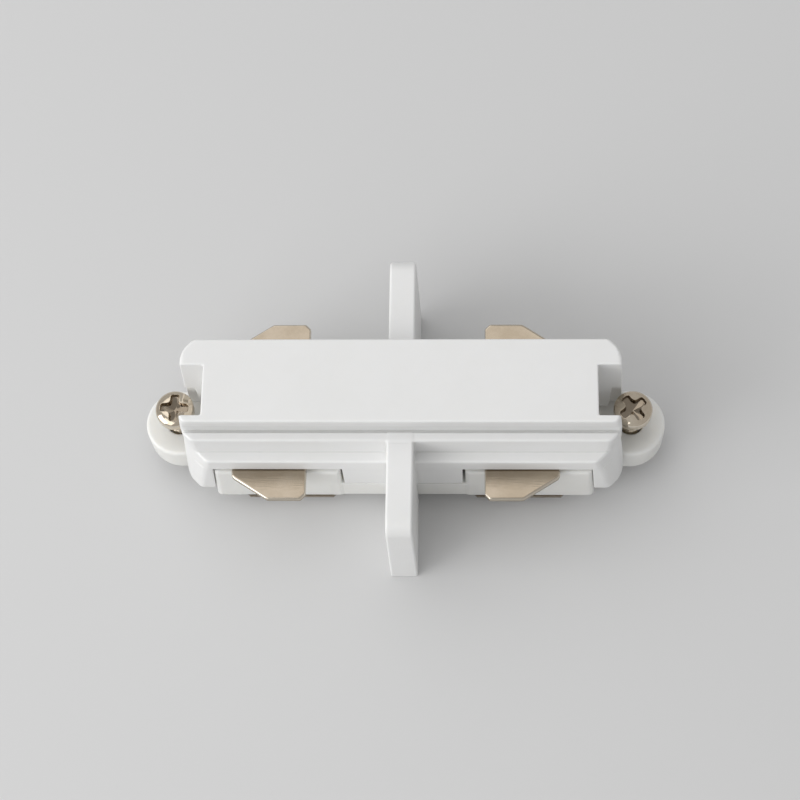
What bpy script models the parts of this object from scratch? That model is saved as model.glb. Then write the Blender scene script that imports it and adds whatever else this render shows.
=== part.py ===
"""Straight connector for single-circuit lighting track, modelled piece by piece.

X runs along the track, Y across it and Z up, out of the track's mouth.
The origin is at the middle of the cross plate's foot, which the connector stands on.
"""

import math

import bmesh
import bpy
from mathutils import Matrix, Vector

MM = 0.001
GAP = 0.3 * MM
LOOSE = 1.0 * MM
BEYOND = 5.0 * MM
SMOOTH_EDGE = 0.25 * MM
EDGE_STEPS = 2
WELD = 0.001 * MM
SHARP = math.radians(35.0)
ROUND_STEPS = 32
SMALL_ROUND_STEPS = 24

TRACK_WIDTH = 35.0 * MM
TRACK_HEIGHT = 18.0 * MM
FLOOR_CLEARANCE = 2.0 * MM

PLATE_TOP_THICKNESS = 3.12 * MM
PLATE_FOOT_THICKNESS = 3.36 * MM
PLATE_TOP_DROP = 0.1 * MM
PLATE_CORNER = 1.9 * MM
PLATE_CORNER_STEPS = 6

TOP_BLOCK_HEIGHT = 3.7 * MM
TOP_BLOCK_WIDTH = 10.4 * MM
TOP_LIP_HEIGHT = 0.5 * MM
GROOVE_DEPTH = 0.45 * MM
GROOVE_SLOPE_HEIGHT = 2.0 * MM
CHANNEL_DEPTH = 0.6 * MM
CHANNEL_INSET = 0.05 * MM
UPPER_LEDGE = 1.04 * MM
UPPER_STEP_HEIGHT = 3.66 * MM
LOWER_LEDGE = 1.38 * MM
LOWER_STEP_HEIGHT = 2.54 * MM
SKIRT_SETBACK = 0.12 * MM
SKIRT_LIP = 0.1 * MM
END_POST_FOOT = 2.4 * MM
END_WALL = 3.04 * MM
END_DRAFT = 0.0555
BLOCK_DRAFT = 0.07
CORNER_CUT = 0.24 * MM
CORNER_DRAFT = 0.181
KEY_CORNER_CUTS = (0.6 * MM, 1.5 * MM)
PLAIN_CORNER_CUTS = (0.14 * MM, 0.7 * MM)
CORNER_KNEE_OFFSET = 0.1 * MM
CORNER_SOFTENING = 0.8 * MM
NOTCH_WIDTH = 6.29 * MM
NOTCH_CENTRE_Y = -1.2 * MM
NOTCH_LENGTH = 2.79 * MM
NOTCH_INSET = 0.1 * MM
NOTCH_FOOT_RISE = 0.3 * MM
NOTCH_FOOT_MARGIN = 0.15 * MM
TOP_SIDE_WALL = 1.15 * MM
ROOF = 1.8 * MM
INNER_END_WALL = 1.35 * MM
ROOF_END_WALL = 1.85 * MM
MIDDLE_WEB = 3.0 * MM
LIP_THICKNESS = 0.7 * MM

PASSAGE_LIFT = 0.1 * MM
BASE_LIFT = 0.15 * MM
CARRIER_BASE_HEIGHT = 3.9 * MM
BLOCK_LENGTH = 15.02 * MM
BLOCK_SETBACK = 0.02 * MM
BLOCK_CORNER = 0.6 * MM
MIDDLE_SKIRT_LENGTH = 14.46 * MM
CORE_WALL = 1.8 * MM
CORE_FLOOR = 2.2 * MM

TONGUE_RADIUS = 4.2 * MM
TONGUE_LIFT = 0.96 * MM
TONGUE_THICKNESS = 4.6 * MM
TONGUE_EDGE = 0.35 * MM
SCREW_OUTSET = 1.84 * MM

CONTACT_THICKNESS = 0.7 * MM
CONTACT_WIDTH = 9.0 * MM
CONTACT_TIP_WIDTH = 4.6 * MM
CONTACT_REACH = 3.73 * MM
CONTACT_SLANT = 2.85 * MM
CONTACT_CORNER = 0.6 * MM
LEFT_CONTACT_X = 11.5 * MM
RIGHT_CONTACT_X = 9.9 * MM

BUS_SIDE_CLEARANCE = 0.6 * MM
BUS_THICKNESS = 0.7 * MM
BUS_END_MARGIN = 2.4 * MM
ROOT_CLEARANCE = 0.4 * MM
BUS_EDGE = 0.3 * MM
RIVET_RADIUS = 0.7 * MM
RIVET_HEAD_OVERHANG = 0.5 * MM
RIVET_HEAD_HEIGHT = 0.5 * MM
RIVET_CROWN_INSET = 0.4 * MM

EARTH_THICKNESS = 0.5 * MM
EARTH_PAD_LENGTH = 11.6 * MM
EARTH_PAD_INSET = 0.9 * MM
EARTH_STRIP_WIDTH = 6.0 * MM
EARTH_CORNER = 0.6 * MM

CLAMP_THREAD_RADIUS = 1.25 * MM
CLAMP_THREAD_DEPTH = 0.23 * MM
CLAMP_PITCH = 0.45 * MM
CLAMP_HEAD_RADIUS = 2.34 * MM
CLAMP_HEAD_RIM = 1.0 * MM
CLAMP_HEAD_DOME = 0.9 * MM
CLAMP_DOME_STEPS = 5
CLAMP_DOME_SWEEP = math.radians(75.0)
CLAMP_STAND_OFF = 3.44 * MM
CLAMP_TIP_BELOW = 1.06 * MM
CLAMP_TIP_LENGTH = 0.7 * MM
CLAMP_TIP_RADIUS = 0.5 * MM
CLAMP_NECK = 0.5 * MM
CLAMP_TRAVEL_UP = 1.0 * MM
RECESS_SPAN = 3.2 * MM
RECESS_WIDTH = 0.9 * MM
RECESS_DEPTH = 1.15 * MM
RECESS_TAPER = 0.45
RECESS_WEB = 1.25
RECESS_OVERRUN = 0.1 * MM

NUT_ACROSS_FLATS = 5.0 * MM
NUT_HEIGHT = 2.0 * MM

ASSEMBLY_RADIUS = 1.0 * MM
ASSEMBLY_HEAD_RADIUS = 1.9 * MM
ASSEMBLY_CROWN_RADIUS = 1.6 * MM
ASSEMBLY_HEAD_HEIGHT = 0.6 * MM
ASSEMBLY_RIM_HEIGHT = 0.36 * MM
ASSEMBLY_LENGTH = 12.1 * MM
ASSEMBLY_TIP_LENGTH = 1.2 * MM
ASSEMBLY_TIP_RADIUS = 0.3 * MM
ASSEMBLY_RECESS_DEPTH = 0.35 * MM
ASSEMBLY_RECESS_SPAN = 1.7 * MM
ASSEMBLY_RECESS_WIDTH = 0.5 * MM
ASSEMBLY_INNER_X = 5.0 * MM
ASSEMBLY_OUTER_X = 18.0 * MM
BOSS_WALL = 0.5 * MM

COLLECTION_NAME = "track_light_straight_connector"
SIDES = ((-1.0, "left"), (1.0, "right"))
ROWS = ((-1.0, "front"), (1.0, "rear"))

BODY_TOP = TRACK_HEIGHT + TOP_BLOCK_HEIGHT
TOP_HALF_WIDTH = TOP_BLOCK_WIDTH / 2.0
GROOVE_HALF_WIDTH = TOP_HALF_WIDTH - GROOVE_DEPTH
UPPER_STEP_HALF_WIDTH = TOP_HALF_WIDTH + UPPER_LEDGE
LOWER_STEP_HALF_WIDTH = UPPER_STEP_HALF_WIDTH + LOWER_LEDGE
SKIRT_HALF_WIDTH = LOWER_STEP_HALF_WIDTH - SKIRT_SETBACK
BASE_HALF_WIDTH = SKIRT_HALF_WIDTH
LOWER_STEP_Z = TRACK_HEIGHT - UPPER_STEP_HEIGHT
SHELL_EDGE_Z = LOWER_STEP_Z - LOWER_STEP_HEIGHT
CONTACT_TOP_Z = SHELL_EDGE_Z - GAP
CONTACT_BOTTOM_Z = CONTACT_TOP_Z - CONTACT_THICKNESS
BLOCK_TOP_Z = CONTACT_BOTTOM_Z - GAP
BUS_BOTTOM_Z = CONTACT_TOP_Z + GAP
BUS_TOP_Z = BUS_BOTTOM_Z + BUS_THICKNESS
CARRIER_Z = FLOOR_CLEARANCE
CARRIER_BASE_Z = CARRIER_Z + BASE_LIFT
CARRIER_BASE_TOP_Z = CARRIER_BASE_Z + CARRIER_BASE_HEIGHT
CORE_FLOOR_Z = CARRIER_Z + CORE_FLOOR
SKIRT_Z = CARRIER_BASE_TOP_Z + GAP
END_POST_Z = CARRIER_Z + END_POST_FOOT
EARTH_TOP_Z = CARRIER_Z - GAP
EARTH_BOTTOM_Z = EARTH_TOP_Z - EARTH_THICKNESS
ASSEMBLY_SEAT_Z = EARTH_BOTTOM_Z - GAP
ASSEMBLY_TOP_Z = ASSEMBLY_SEAT_Z + ASSEMBLY_LENGTH
TONGUE_BOTTOM_Z = CARRIER_Z + TONGUE_LIFT
TONGUE_TOP_Z = TONGUE_BOTTOM_Z + TONGUE_THICKNESS
CLAMP_SEAT_Z = TONGUE_TOP_Z + CLAMP_STAND_OFF
CLAMP_TIP_Z = TONGUE_BOTTOM_Z - CLAMP_TIP_BELOW
CLAMP_ROOT_RADIUS = CLAMP_THREAD_RADIUS - CLAMP_THREAD_DEPTH
NUT_BOTTOM_Z = TONGUE_BOTTOM_Z + GAP
NUT_POCKET_TOP_Z = NUT_BOTTOM_Z + NUT_HEIGHT + GAP

SKIRT_HALF_LENGTH = MIDDLE_SKIRT_LENGTH / 2.0
BLOCK_INNER_X = SKIRT_HALF_LENGTH + GAP
BLOCK_OUTER_X = BLOCK_INNER_X + BLOCK_LENGTH
BLOCK_HALF_WIDTH = LOWER_STEP_HALF_WIDTH - BLOCK_SETBACK
END_POST_INNER_X = BLOCK_OUTER_X + GAP
TOP_HALF_LENGTH = END_POST_INNER_X + END_WALL
SCREW_X = TOP_HALF_LENGTH + SCREW_OUTSET
CORNER_KNEES = (LOWER_STEP_Z - CORNER_KNEE_OFFSET, TRACK_HEIGHT + CORNER_KNEE_OFFSET)
CAVITY_HALF_LENGTH = END_POST_INNER_X - INNER_END_WALL
ROOF_CAVITY_HALF_LENGTH = END_POST_INNER_X - ROOF_END_WALL
CAVITY_TOP_Z = BUS_TOP_Z + GAP + RIVET_HEAD_HEIGHT + GAP
UPPER_CAVITY_HALF_WIDTH = GROOVE_HALF_WIDTH - TOP_SIDE_WALL
ASSEMBLY_HOLE_RADIUS = ASSEMBLY_RADIUS + GAP
BOSS_RADIUS = ASSEMBLY_HOLE_RADIUS + BOSS_WALL
THREAD_HOLE_RADIUS = CLAMP_THREAD_RADIUS + GAP
BUS_INNER_Y = BOSS_RADIUS + ROOT_CLEARANCE
BUS_WIDTH = 2.0 * (RIVET_RADIUS + GAP + BUS_EDGE)
BUS_Y = BUS_INNER_Y + BUS_WIDTH / 2.0
CAVITY_HALF_WIDTH = BUS_INNER_Y + BUS_WIDTH + BUS_SIDE_CLEARANCE
RIVET_HEAD_RADIUS = RIVET_RADIUS + RIVET_HEAD_OVERHANG
RIVET_CROWN_RADIUS = RIVET_HEAD_RADIUS - RIVET_CROWN_INSET
CORE_INNER_Y = BUS_Y - RIVET_HEAD_RADIUS - GAP
CORE_OUTER_Y = BUS_Y + RIVET_HEAD_RADIUS + GAP
CONTACT_TIP_Y = LOWER_STEP_HALF_WIDTH + CONTACT_REACH
ASSEMBLY_PLACES = (-ASSEMBLY_OUTER_X, -ASSEMBLY_INNER_X, ASSEMBLY_INNER_X, ASSEMBLY_OUTER_X)
ALONG_TRACK = Matrix(((0.0, 0.0, 1.0, 0.0), (1.0, 0.0, 0.0, 0.0), (0.0, 1.0, 0.0, 0.0), (0.0, 0.0, 0.0, 1.0)))


def clear_scene():
    """Remove every object that the file already holds."""
    for obj in list(bpy.data.objects):
        bpy.data.objects.remove(obj, do_unlink=True)


def new_collection(name, hidden):
    """Make a collection under the scene; a hidden one holds cutters only."""
    group = bpy.data.collections.new(name)
    bpy.context.scene.collection.children.link(group)
    group.hide_render = hidden
    return group


def material(name, colour, roughness, metallic):
    """Make a plain Principled material."""
    made = bpy.data.materials.new(name)
    made.use_nodes = True
    shader = made.node_tree.nodes["Principled BSDF"]
    shader.inputs["Base Color"].default_value = (*colour, 1.0)
    shader.inputs["Roughness"].default_value = roughness
    shader.inputs["Metallic"].default_value = metallic
    made.diffuse_color = (*colour, 1.0)
    return made


def add_box(work, low, high):
    """Add a box between two corners to a working mesh and return its corners."""
    size = Vector(high) - Vector(low)
    middle = (Vector(high) + Vector(low)) / 2.0
    matrix = Matrix.Translation(middle) @ Matrix.Diagonal((*size, 1.0))
    return bmesh.ops.create_cube(work, size=1.0, matrix=matrix)["verts"]


def add_end_box(work, side, x_span, y_span, z_span):
    """Add a box at one end, its X span given as distances from the middle."""
    first, last = sorted((side * x_span[0], side * x_span[1]))
    return add_box(work, (first, y_span[0], z_span[0]), (last, y_span[1], z_span[1]))


def lean_outward(corners, side, z_span):
    """Lean a box's outer end by the moulding's draft, from the shell's edge down."""
    middle = sum(vertex.co.x for vertex in corners) / len(corners)
    for vertex in corners:
        if side * (vertex.co.x - middle) > 0.0:
            height = min(z_span, key=lambda z: abs(z - vertex.co.z))
            vertex.co.x += side * BLOCK_DRAFT * (SHELL_EDGE_Z - height)


def add_post(work, radius, low, high, centre, steps=SMALL_ROUND_STEPS):
    """Add an upright cylinder, or a prism of few sides, to a working mesh."""
    matrix = Matrix.Translation((centre[0], centre[1], (low + high) / 2.0))
    bmesh.ops.create_cone(
        work, cap_ends=True, segments=steps, radius1=radius, radius2=radius, depth=high - low, matrix=matrix
    )


def add_hexagon(work, across_flats, low, high, centre):
    """Add an upright six-sided prism to a working mesh."""
    add_post(work, across_flats / math.sqrt(3.0), low, high, centre, 6)


def place_mesh(mesh, name, group):
    """Put a mesh in the scene, shaded smooth where it is round."""
    mesh.shade_smooth()
    mesh.set_sharp_from_angle(angle=SHARP)
    obj = bpy.data.objects.new(name, mesh)
    group.objects.link(obj)
    return obj


def finish_mesh(work, name, group):
    """Turn a working mesh into an object."""
    mesh = bpy.data.meshes.new(name)
    bmesh.ops.recalc_face_normals(work, faces=work.faces)
    work.to_mesh(mesh)
    work.free()
    return place_mesh(mesh, name, group)


def evaluated_mesh(obj):
    """Mesh of an object as its settings and modifiers make it."""
    bpy.context.view_layer.update()
    return bpy.data.meshes.new_from_object(obj.evaluated_get(bpy.context.evaluated_depsgraph_get()))


def flat_piece(name, outline, low, high, group, placing=Matrix.Identity(4)):
    """Extrude a flat outline between two levels and make it a welded mesh."""
    curve = bpy.data.curves.new(name + "_outline", "CURVE")
    curve.dimensions = "2D"
    curve.fill_mode = "BOTH"
    curve.extrude = (high - low) / 2.0
    spline = curve.splines.new("POLY")
    spline.points.add(len(outline) - 1)
    for point, (across, along) in zip(spline.points, outline):
        point.co = (across, along, 0.0, 1.0)
    spline.use_cyclic_u = True
    source = bpy.data.objects.new(name + "_outline", curve)
    group.objects.link(source)
    source.matrix_world = placing @ Matrix.Translation((0.0, 0.0, (low + high) / 2.0))
    work = bmesh.new()
    work.from_mesh(evaluated_mesh(source))
    bmesh.ops.remove_doubles(work, verts=work.verts, dist=WELD)
    obj = finish_mesh(work, name, group)
    obj.matrix_world = source.matrix_world.copy()
    bpy.data.objects.remove(source, do_unlink=True)
    bpy.data.curves.remove(curve)
    return obj


def turned(name, profile, steps, group):
    """Turn a profile about the vertical; its (radius, height) pairs run from top to bottom."""
    line = bpy.data.meshes.new(name + "_profile")
    points = [(radius, 0.0, height) for radius, height in profile]
    line.from_pydata(points, [(index, index + 1) for index in range(len(points) - 1)], [])
    source = bpy.data.objects.new(name + "_profile", line)
    group.objects.link(source)
    turn = source.modifiers.new("turn", "SCREW")
    turn.axis = "Z"
    turn.steps = steps
    turn.render_steps = steps
    turn.use_merge_vertices = True
    turn.merge_threshold = WELD
    obj = place_mesh(evaluated_mesh(source), name, group)
    bpy.data.objects.remove(source, do_unlink=True)
    return obj


def join_by(target, cutter, operation):
    """Add one exact Boolean step to an object."""
    step = target.modifiers.new(cutter.name, "BOOLEAN")
    step.operation = operation
    step.solver = "EXACT"
    step.object = cutter


def as_helper(obj):
    """Hide an object that only a Boolean uses."""
    obj.hide_render = True
    obj.display_type = "WIRE"
    return obj


def cut(target, work, name, cutters):
    """Take a working mesh away from an object."""
    join_by(target, as_helper(finish_mesh(work, name, cutters)), "DIFFERENCE")


def fuse(target, work, name, cutters):
    """Join a working mesh to an object."""
    join_by(target, as_helper(finish_mesh(work, name, cutters)), "UNION")


def soften(obj, width, steps, angle):
    """Round the edges of an object that are sharper than an angle."""
    step = obj.modifiers.new("soft_edges", "BEVEL")
    step.width = width
    step.segments = steps
    step.limit_method = "ANGLE"
    step.angle_limit = angle


def rounded_outline(points, radii, steps):
    """Replace each corner of a closed outline by an arc of the given radius."""
    result = []
    for index, corner in enumerate(points):
        radius = radii[index]
        here = Vector(corner)
        if radius == 0.0:
            result.append((here.x, here.y))
            continue
        back = (Vector(points[index - 1]) - here).normalized()
        ahead = (Vector(points[(index + 1) % len(points)]) - here).normalized()
        half = back.angle(ahead) / 2.0
        reach = radius / math.tan(half)
        centre = here + (back + ahead).normalized() * (radius / math.sin(half))
        first = here + back * reach - centre
        last = here + ahead * reach - centre
        start = math.atan2(first.y, first.x)
        sweep = math.remainder(math.atan2(last.y, last.x) - start, 2.0 * math.pi)
        for step in range(steps + 1):
            angle = start + sweep * step / steps
            result.append((centre.x + radius * math.cos(angle), centre.y + radius * math.sin(angle)))
    return result


def body_outline():
    """Cross-section of the shell, seen along the track, as (y, height) pairs."""
    lip_z = BODY_TOP - TOP_LIP_HEIGHT
    skirt_top_z = SHELL_EDGE_Z - SKIRT_LIP
    side = [
        (SKIRT_HALF_WIDTH, END_POST_Z, 0.0),
        (SKIRT_HALF_WIDTH, skirt_top_z, 0.0),
        (LOWER_STEP_HALF_WIDTH, skirt_top_z, 0.0),
        (LOWER_STEP_HALF_WIDTH, LOWER_STEP_Z, SMOOTH_EDGE),
        (UPPER_STEP_HALF_WIDTH, LOWER_STEP_Z, 0.0),
        (UPPER_STEP_HALF_WIDTH, TRACK_HEIGHT, SMOOTH_EDGE),
        (GROOVE_HALF_WIDTH, TRACK_HEIGHT, 0.0),
        (GROOVE_HALF_WIDTH, lip_z - GROOVE_SLOPE_HEIGHT, 0.0),
        (TOP_HALF_WIDTH, lip_z, 0.0),
        (TOP_HALF_WIDTH, BODY_TOP, SMOOTH_EDGE),
    ]
    other = [(-y, z, radius) for y, z, radius in reversed(side)]
    corners = side + other
    points = [(y, z) for y, z, _ in corners]
    return rounded_outline(points, [radius for _, _, radius in corners], EDGE_STEPS)


def corner_reach(height, cuts):
    """Sum of X and Y on a cut corner at a height, with a knee by each of the two ledges."""
    full = TOP_HALF_LENGTH + TOP_HALF_WIDTH
    low_knee, high_knee = CORNER_KNEES
    ledge_cut, top_cut = cuts
    if height <= low_knee:
        return full - CORNER_CUT + CORNER_DRAFT * (low_knee - height)
    if height <= high_knee:
        share = (height - low_knee) / (high_knee - low_knee)
        return full - CORNER_CUT + share * (CORNER_CUT - ledge_cut)
    share = (height - high_knee) / (BODY_TOP - high_knee)
    return full - ledge_cut + share * (ledge_cut - top_cut)


def envelope_outline(height):
    """Plan that trims the shell's ends and corners at a height; the rear corners are the key."""
    end = TOP_HALF_LENGTH + END_DRAFT * (BODY_TOP - height)
    half_width = LOWER_STEP_HALF_WIDTH + LOOSE
    sides = []
    for across, cuts in ((1.0, KEY_CORNER_CUTS), (-1.0, PLAIN_CORNER_CUTS)):
        reach = corner_reach(height, cuts)
        corner = [(end, reach - end), (reach - half_width, half_width)]
        half = corner + [(-x, y) for x, y in reversed(corner)]
        sides.extend((across * x, across * y) for x, y in half)
    radii = [CORNER_SOFTENING, 0.0, 0.0, CORNER_SOFTENING] * 2
    return rounded_outline(sides, radii, EDGE_STEPS + 1)


def envelope(cutters):
    """Tapered block, lofted through four plans, that gives the shell its ends and corners."""
    work = bmesh.new()
    heights = (END_POST_Z - LOOSE, *CORNER_KNEES, BODY_TOP + LOOSE)
    rings = [[work.verts.new((x, y, height)) for x, y in envelope_outline(height)] for height in heights]
    work.faces.new(rings[0])
    work.faces.new(rings[-1])
    for lower, upper in zip(rings, rings[1:]):
        for index, vertex in enumerate(lower):
            work.faces.new((lower[index - 1], vertex, upper[index], upper[index - 1]))
    bmesh.ops.triangulate(work, faces=work.faces[:])
    return as_helper(finish_mesh(work, "trim_envelope", cutters))


def cross_plate(cutters):
    """Plate across the connector that the two track ends butt against, with a little draft."""
    half = TRACK_WIDTH / 2.0
    top = TRACK_HEIGHT - PLATE_TOP_DROP
    passage = BASE_HALF_WIDTH + GAP
    passage_z = SKIRT_Z + PASSAGE_LIFT
    points = [(half, 0.0), (half, top), (-half, top), (-half, 0.0)]
    points += [(-passage, 0.0), (-passage, passage_z), (passage, passage_z), (passage, 0.0)]
    radii = [0.0, PLATE_CORNER, PLATE_CORNER, 0.0, 0.0, 0.0, 0.0, 0.0]
    outline = rounded_outline(points, radii, PLATE_CORNER_STEPS)
    half_foot = PLATE_FOOT_THICKNESS / 2.0
    plate = flat_piece("add_cross_plate", outline, -half_foot, half_foot, cutters, ALONG_TRACK)
    slimming = PLATE_TOP_THICKNESS / PLATE_FOOT_THICKNESS - 1.0
    for vertex in plate.data.vertices:
        vertex.co.z *= 1.0 + slimming * vertex.co.y / TRACK_HEIGHT
    soften(plate, SMOOTH_EDGE, EDGE_STEPS, math.radians(60.0))
    return as_helper(plate)


def contact_x(side):
    """Distance of a contact's inner edge from the middle, by end."""
    return RIGHT_CONTACT_X if side > 0.0 else LEFT_CONTACT_X


def cut_shell_sides(housing, cutters):
    """Open the shell's side walls for the carrier's blocks and base."""
    far_y = LOWER_STEP_HALF_WIDTH + BEYOND
    work = bmesh.new()
    for side, _ in SIDES:
        span = (SKIRT_HALF_LENGTH, END_POST_INNER_X)
        height = (0.0, SHELL_EDGE_Z)
        lean_outward(add_end_box(work, side, span, (-far_y, far_y), height), side, height)
    cut(housing, work, "trim_block_windows", cutters)
    work = bmesh.new()
    reach = SKIRT_HALF_LENGTH + LOOSE
    add_box(work, (-reach, -far_y, 0.0), (reach, far_y, SKIRT_Z))
    cut(housing, work, "trim_under_skirts", cutters)


def cut_shell_channels(housing, cutters):
    """Sink a channel into each upper ledge, along the foot of the top block."""
    work = bmesh.new()
    height = (TRACK_HEIGHT - CHANNEL_DEPTH, TRACK_HEIGHT + LOOSE)
    inner = GROOVE_HALF_WIDTH + CHANNEL_INSET
    outer = TOP_HALF_WIDTH - CHANNEL_INSET
    for across, _ in ROWS:
        y_span = sorted((across * inner, across * outer))
        add_box(work, (-SCREW_X, y_span[0], height[0]), (SCREW_X, y_span[1], height[1]))
    cut(housing, work, "trim_channels", cutters)


def cut_shell_hollows(housing, cutters):
    """Hollow the shell: one low room for the bars and two in the top block."""
    work = bmesh.new()
    low = (-CAVITY_HALF_LENGTH, -CAVITY_HALF_WIDTH, CARRIER_Z)
    add_box(work, low, (CAVITY_HALF_LENGTH, CAVITY_HALF_WIDTH, CAVITY_TOP_Z))
    cut(housing, work, "trim_lower_cavity", cutters)
    work = bmesh.new()
    half = UPPER_CAVITY_HALF_WIDTH
    for side, _ in SIDES:
        span = (MIDDLE_WEB / 2.0, ROOF_CAVITY_HALF_LENGTH)
        add_end_box(work, side, span, (-half, half), (CAVITY_TOP_Z - LOOSE, BODY_TOP - ROOF))
    cut(housing, work, "trim_upper_cavities", cutters)


def cut_shell_ends(housing, cutters):
    """Cut the slots for the tongues and the notches for a screwdriver."""
    far_x = SCREW_X + TONGUE_RADIUS
    half = TONGUE_RADIUS + GAP
    work = bmesh.new()
    for side, _ in SIDES:
        add_end_box(work, side, (BLOCK_OUTER_X, far_x), (-half, half), (0.0, TONGUE_TOP_Z + GAP))
    cut(housing, work, "trim_tongue_slots", cutters)
    notch = (NOTCH_CENTRE_Y - NOTCH_WIDTH / 2.0, NOTCH_CENTRE_Y + NOTCH_WIDTH / 2.0)
    work = bmesh.new()
    for side, _ in SIDES:
        span = (TOP_HALF_LENGTH - NOTCH_LENGTH, far_x)
        add_end_box(work, side, span, notch, (TONGUE_TOP_Z, BODY_TOP + BEYOND))
    cut(housing, work, "trim_driver_notches", cutters)
    work = bmesh.new()
    for side, _ in SIDES:
        span = (END_POST_INNER_X - NOTCH_INSET, SCREW_X)
        y_span = (notch[0] - NOTCH_FOOT_MARGIN, notch[1] + NOTCH_FOOT_MARGIN)
        add_end_box(work, side, span, y_span, (TONGUE_TOP_Z + NOTCH_INSET, SHELL_EDGE_Z + NOTCH_FOOT_RISE))
    cut(housing, work, "trim_notch_feet", cutters)
    work = bmesh.new()
    head_top = CLAMP_SEAT_Z + CLAMP_HEAD_RIM + CLAMP_HEAD_DOME + CLAMP_TRAVEL_UP + GAP
    for side, _ in SIDES:
        span = (SCREW_X - CLAMP_HEAD_RADIUS - GAP, far_x)
        y_span = (notch[0] + LOOSE, CLAMP_HEAD_RADIUS + GAP)
        add_end_box(work, side, span, y_span, (TONGUE_TOP_Z + LOOSE, head_top))
    cut(housing, work, "trim_head_rooms", cutters)


def add_shell_bosses(housing, cutters):
    """Hang the screw bosses from the roof."""
    work = bmesh.new()
    for x in ASSEMBLY_PLACES:
        low = SKIRT_Z if abs(x) < SKIRT_HALF_LENGTH else CONTACT_BOTTOM_Z
        add_post(work, BOSS_RADIUS, low, BODY_TOP - ROOF / 2.0, (x, 0.0))
    fuse(housing, work, "add_bosses", cutters)


def add_shell_lips(housing, cutters):
    """Add the small downstands that close the slot on both sides of each contact."""
    work = bmesh.new()
    height = (CONTACT_BOTTOM_Z, SHELL_EDGE_Z + LOOSE)
    for side, _ in SIDES:
        inner = contact_x(side) - GAP
        outer = contact_x(side) + CONTACT_WIDTH + GAP
        for across, _ in ROWS:
            near = CAVITY_HALF_WIDTH + GAP
            y_span = sorted((across * near, across * (near + LIP_THICKNESS)))
            add_end_box(work, side, (BLOCK_INNER_X, inner), y_span, height)
            add_end_box(work, side, (outer, BLOCK_OUTER_X), y_span, height)
    fuse(housing, work, "add_slot_lips", cutters)


def drill_bosses(housing, cutters):
    """Drill a blind hole in each boss for its screw."""
    work = bmesh.new()
    for x in ASSEMBLY_PLACES:
        add_post(work, ASSEMBLY_HOLE_RADIUS, CARRIER_Z, ASSEMBLY_TOP_Z + GAP, (x, 0.0))
    cut(housing, work, "trim_boss_holes", cutters)


def build_housing(group, cutters, finish):
    """The upper moulding: stepped shell, end posts and cross plate in one piece."""
    housing = flat_piece("housing", body_outline(), -SCREW_X, SCREW_X, group, ALONG_TRACK)
    join_by(housing, envelope(cutters), "INTERSECT")
    cut_shell_sides(housing, cutters)
    join_by(housing, cross_plate(cutters), "UNION")
    cut_shell_channels(housing, cutters)
    cut_shell_hollows(housing, cutters)
    cut_shell_ends(housing, cutters)
    add_shell_bosses(housing, cutters)
    add_shell_lips(housing, cutters)
    drill_bosses(housing, cutters)
    housing.data.materials.append(finish)


def tongue_outline(side):
    """Plan of a round-ended tongue."""
    start = BLOCK_OUTER_X - LOOSE
    outline = [(side * start, -side * TONGUE_RADIUS)]
    for index in range(ROUND_STEPS + 1):
        angle = -math.pi / 2.0 + math.pi * index / ROUND_STEPS
        x = SCREW_X + TONGUE_RADIUS * math.cos(angle)
        outline.append((side * x, side * TONGUE_RADIUS * math.sin(angle)))
    outline.append((side * start, side * TONGUE_RADIUS))
    return outline


def add_carrier_end(carrier, side, label, cutters):
    """Join one contact block and one screw tongue to the carrier's base."""
    work = bmesh.new()
    width = (-BLOCK_HALF_WIDTH, BLOCK_HALF_WIDTH)
    height = (CARRIER_Z, BLOCK_TOP_Z)
    lean_outward(add_end_box(work, side, (BLOCK_INNER_X, BLOCK_OUTER_X), width, height), side, height)
    block = as_helper(finish_mesh(work, "add_block_" + label, cutters))
    soften(block, BLOCK_CORNER, EDGE_STEPS + 1, math.radians(40.0))
    join_by(carrier, block, "UNION")
    name = "add_tongue_" + label
    lug = as_helper(flat_piece(name, tongue_outline(side), TONGUE_BOTTOM_Z, TONGUE_TOP_Z, cutters))
    soften(lug, TONGUE_EDGE, EDGE_STEPS, math.radians(60.0))
    join_by(carrier, lug, "UNION")


def cut_carrier_cores(carrier, cutters):
    """Hollow each block on both sides of its middle rib."""
    work = bmesh.new()
    span = (BLOCK_INNER_X + CORE_WALL, BLOCK_OUTER_X - CORE_WALL)
    for side, _ in SIDES:
        for across, _ in ROWS:
            y_span = sorted((across * CORE_INNER_Y, across * CORE_OUTER_Y))
            add_end_box(work, side, span, y_span, (CORE_FLOOR_Z, BLOCK_TOP_Z + LOOSE))
    cut(carrier, work, "trim_block_cores", cutters)


def drill_carrier(carrier, cutters):
    """Drill the screw holes and cut the pockets for the nuts."""
    work = bmesh.new()
    for side, _ in SIDES:
        add_post(work, THREAD_HOLE_RADIUS, 0.0, TONGUE_TOP_Z + LOOSE, (side * SCREW_X, 0.0))
    for x in ASSEMBLY_PLACES:
        add_post(work, ASSEMBLY_HOLE_RADIUS, 0.0, BLOCK_TOP_Z + LOOSE, (x, 0.0))
    cut(carrier, work, "trim_screw_holes", cutters)
    work = bmesh.new()
    for side, _ in SIDES:
        add_hexagon(work, NUT_ACROSS_FLATS + 2.0 * GAP, 0.0, NUT_POCKET_TOP_Z, (side * SCREW_X, 0.0))
    cut(carrier, work, "trim_nut_pockets", cutters)


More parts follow.
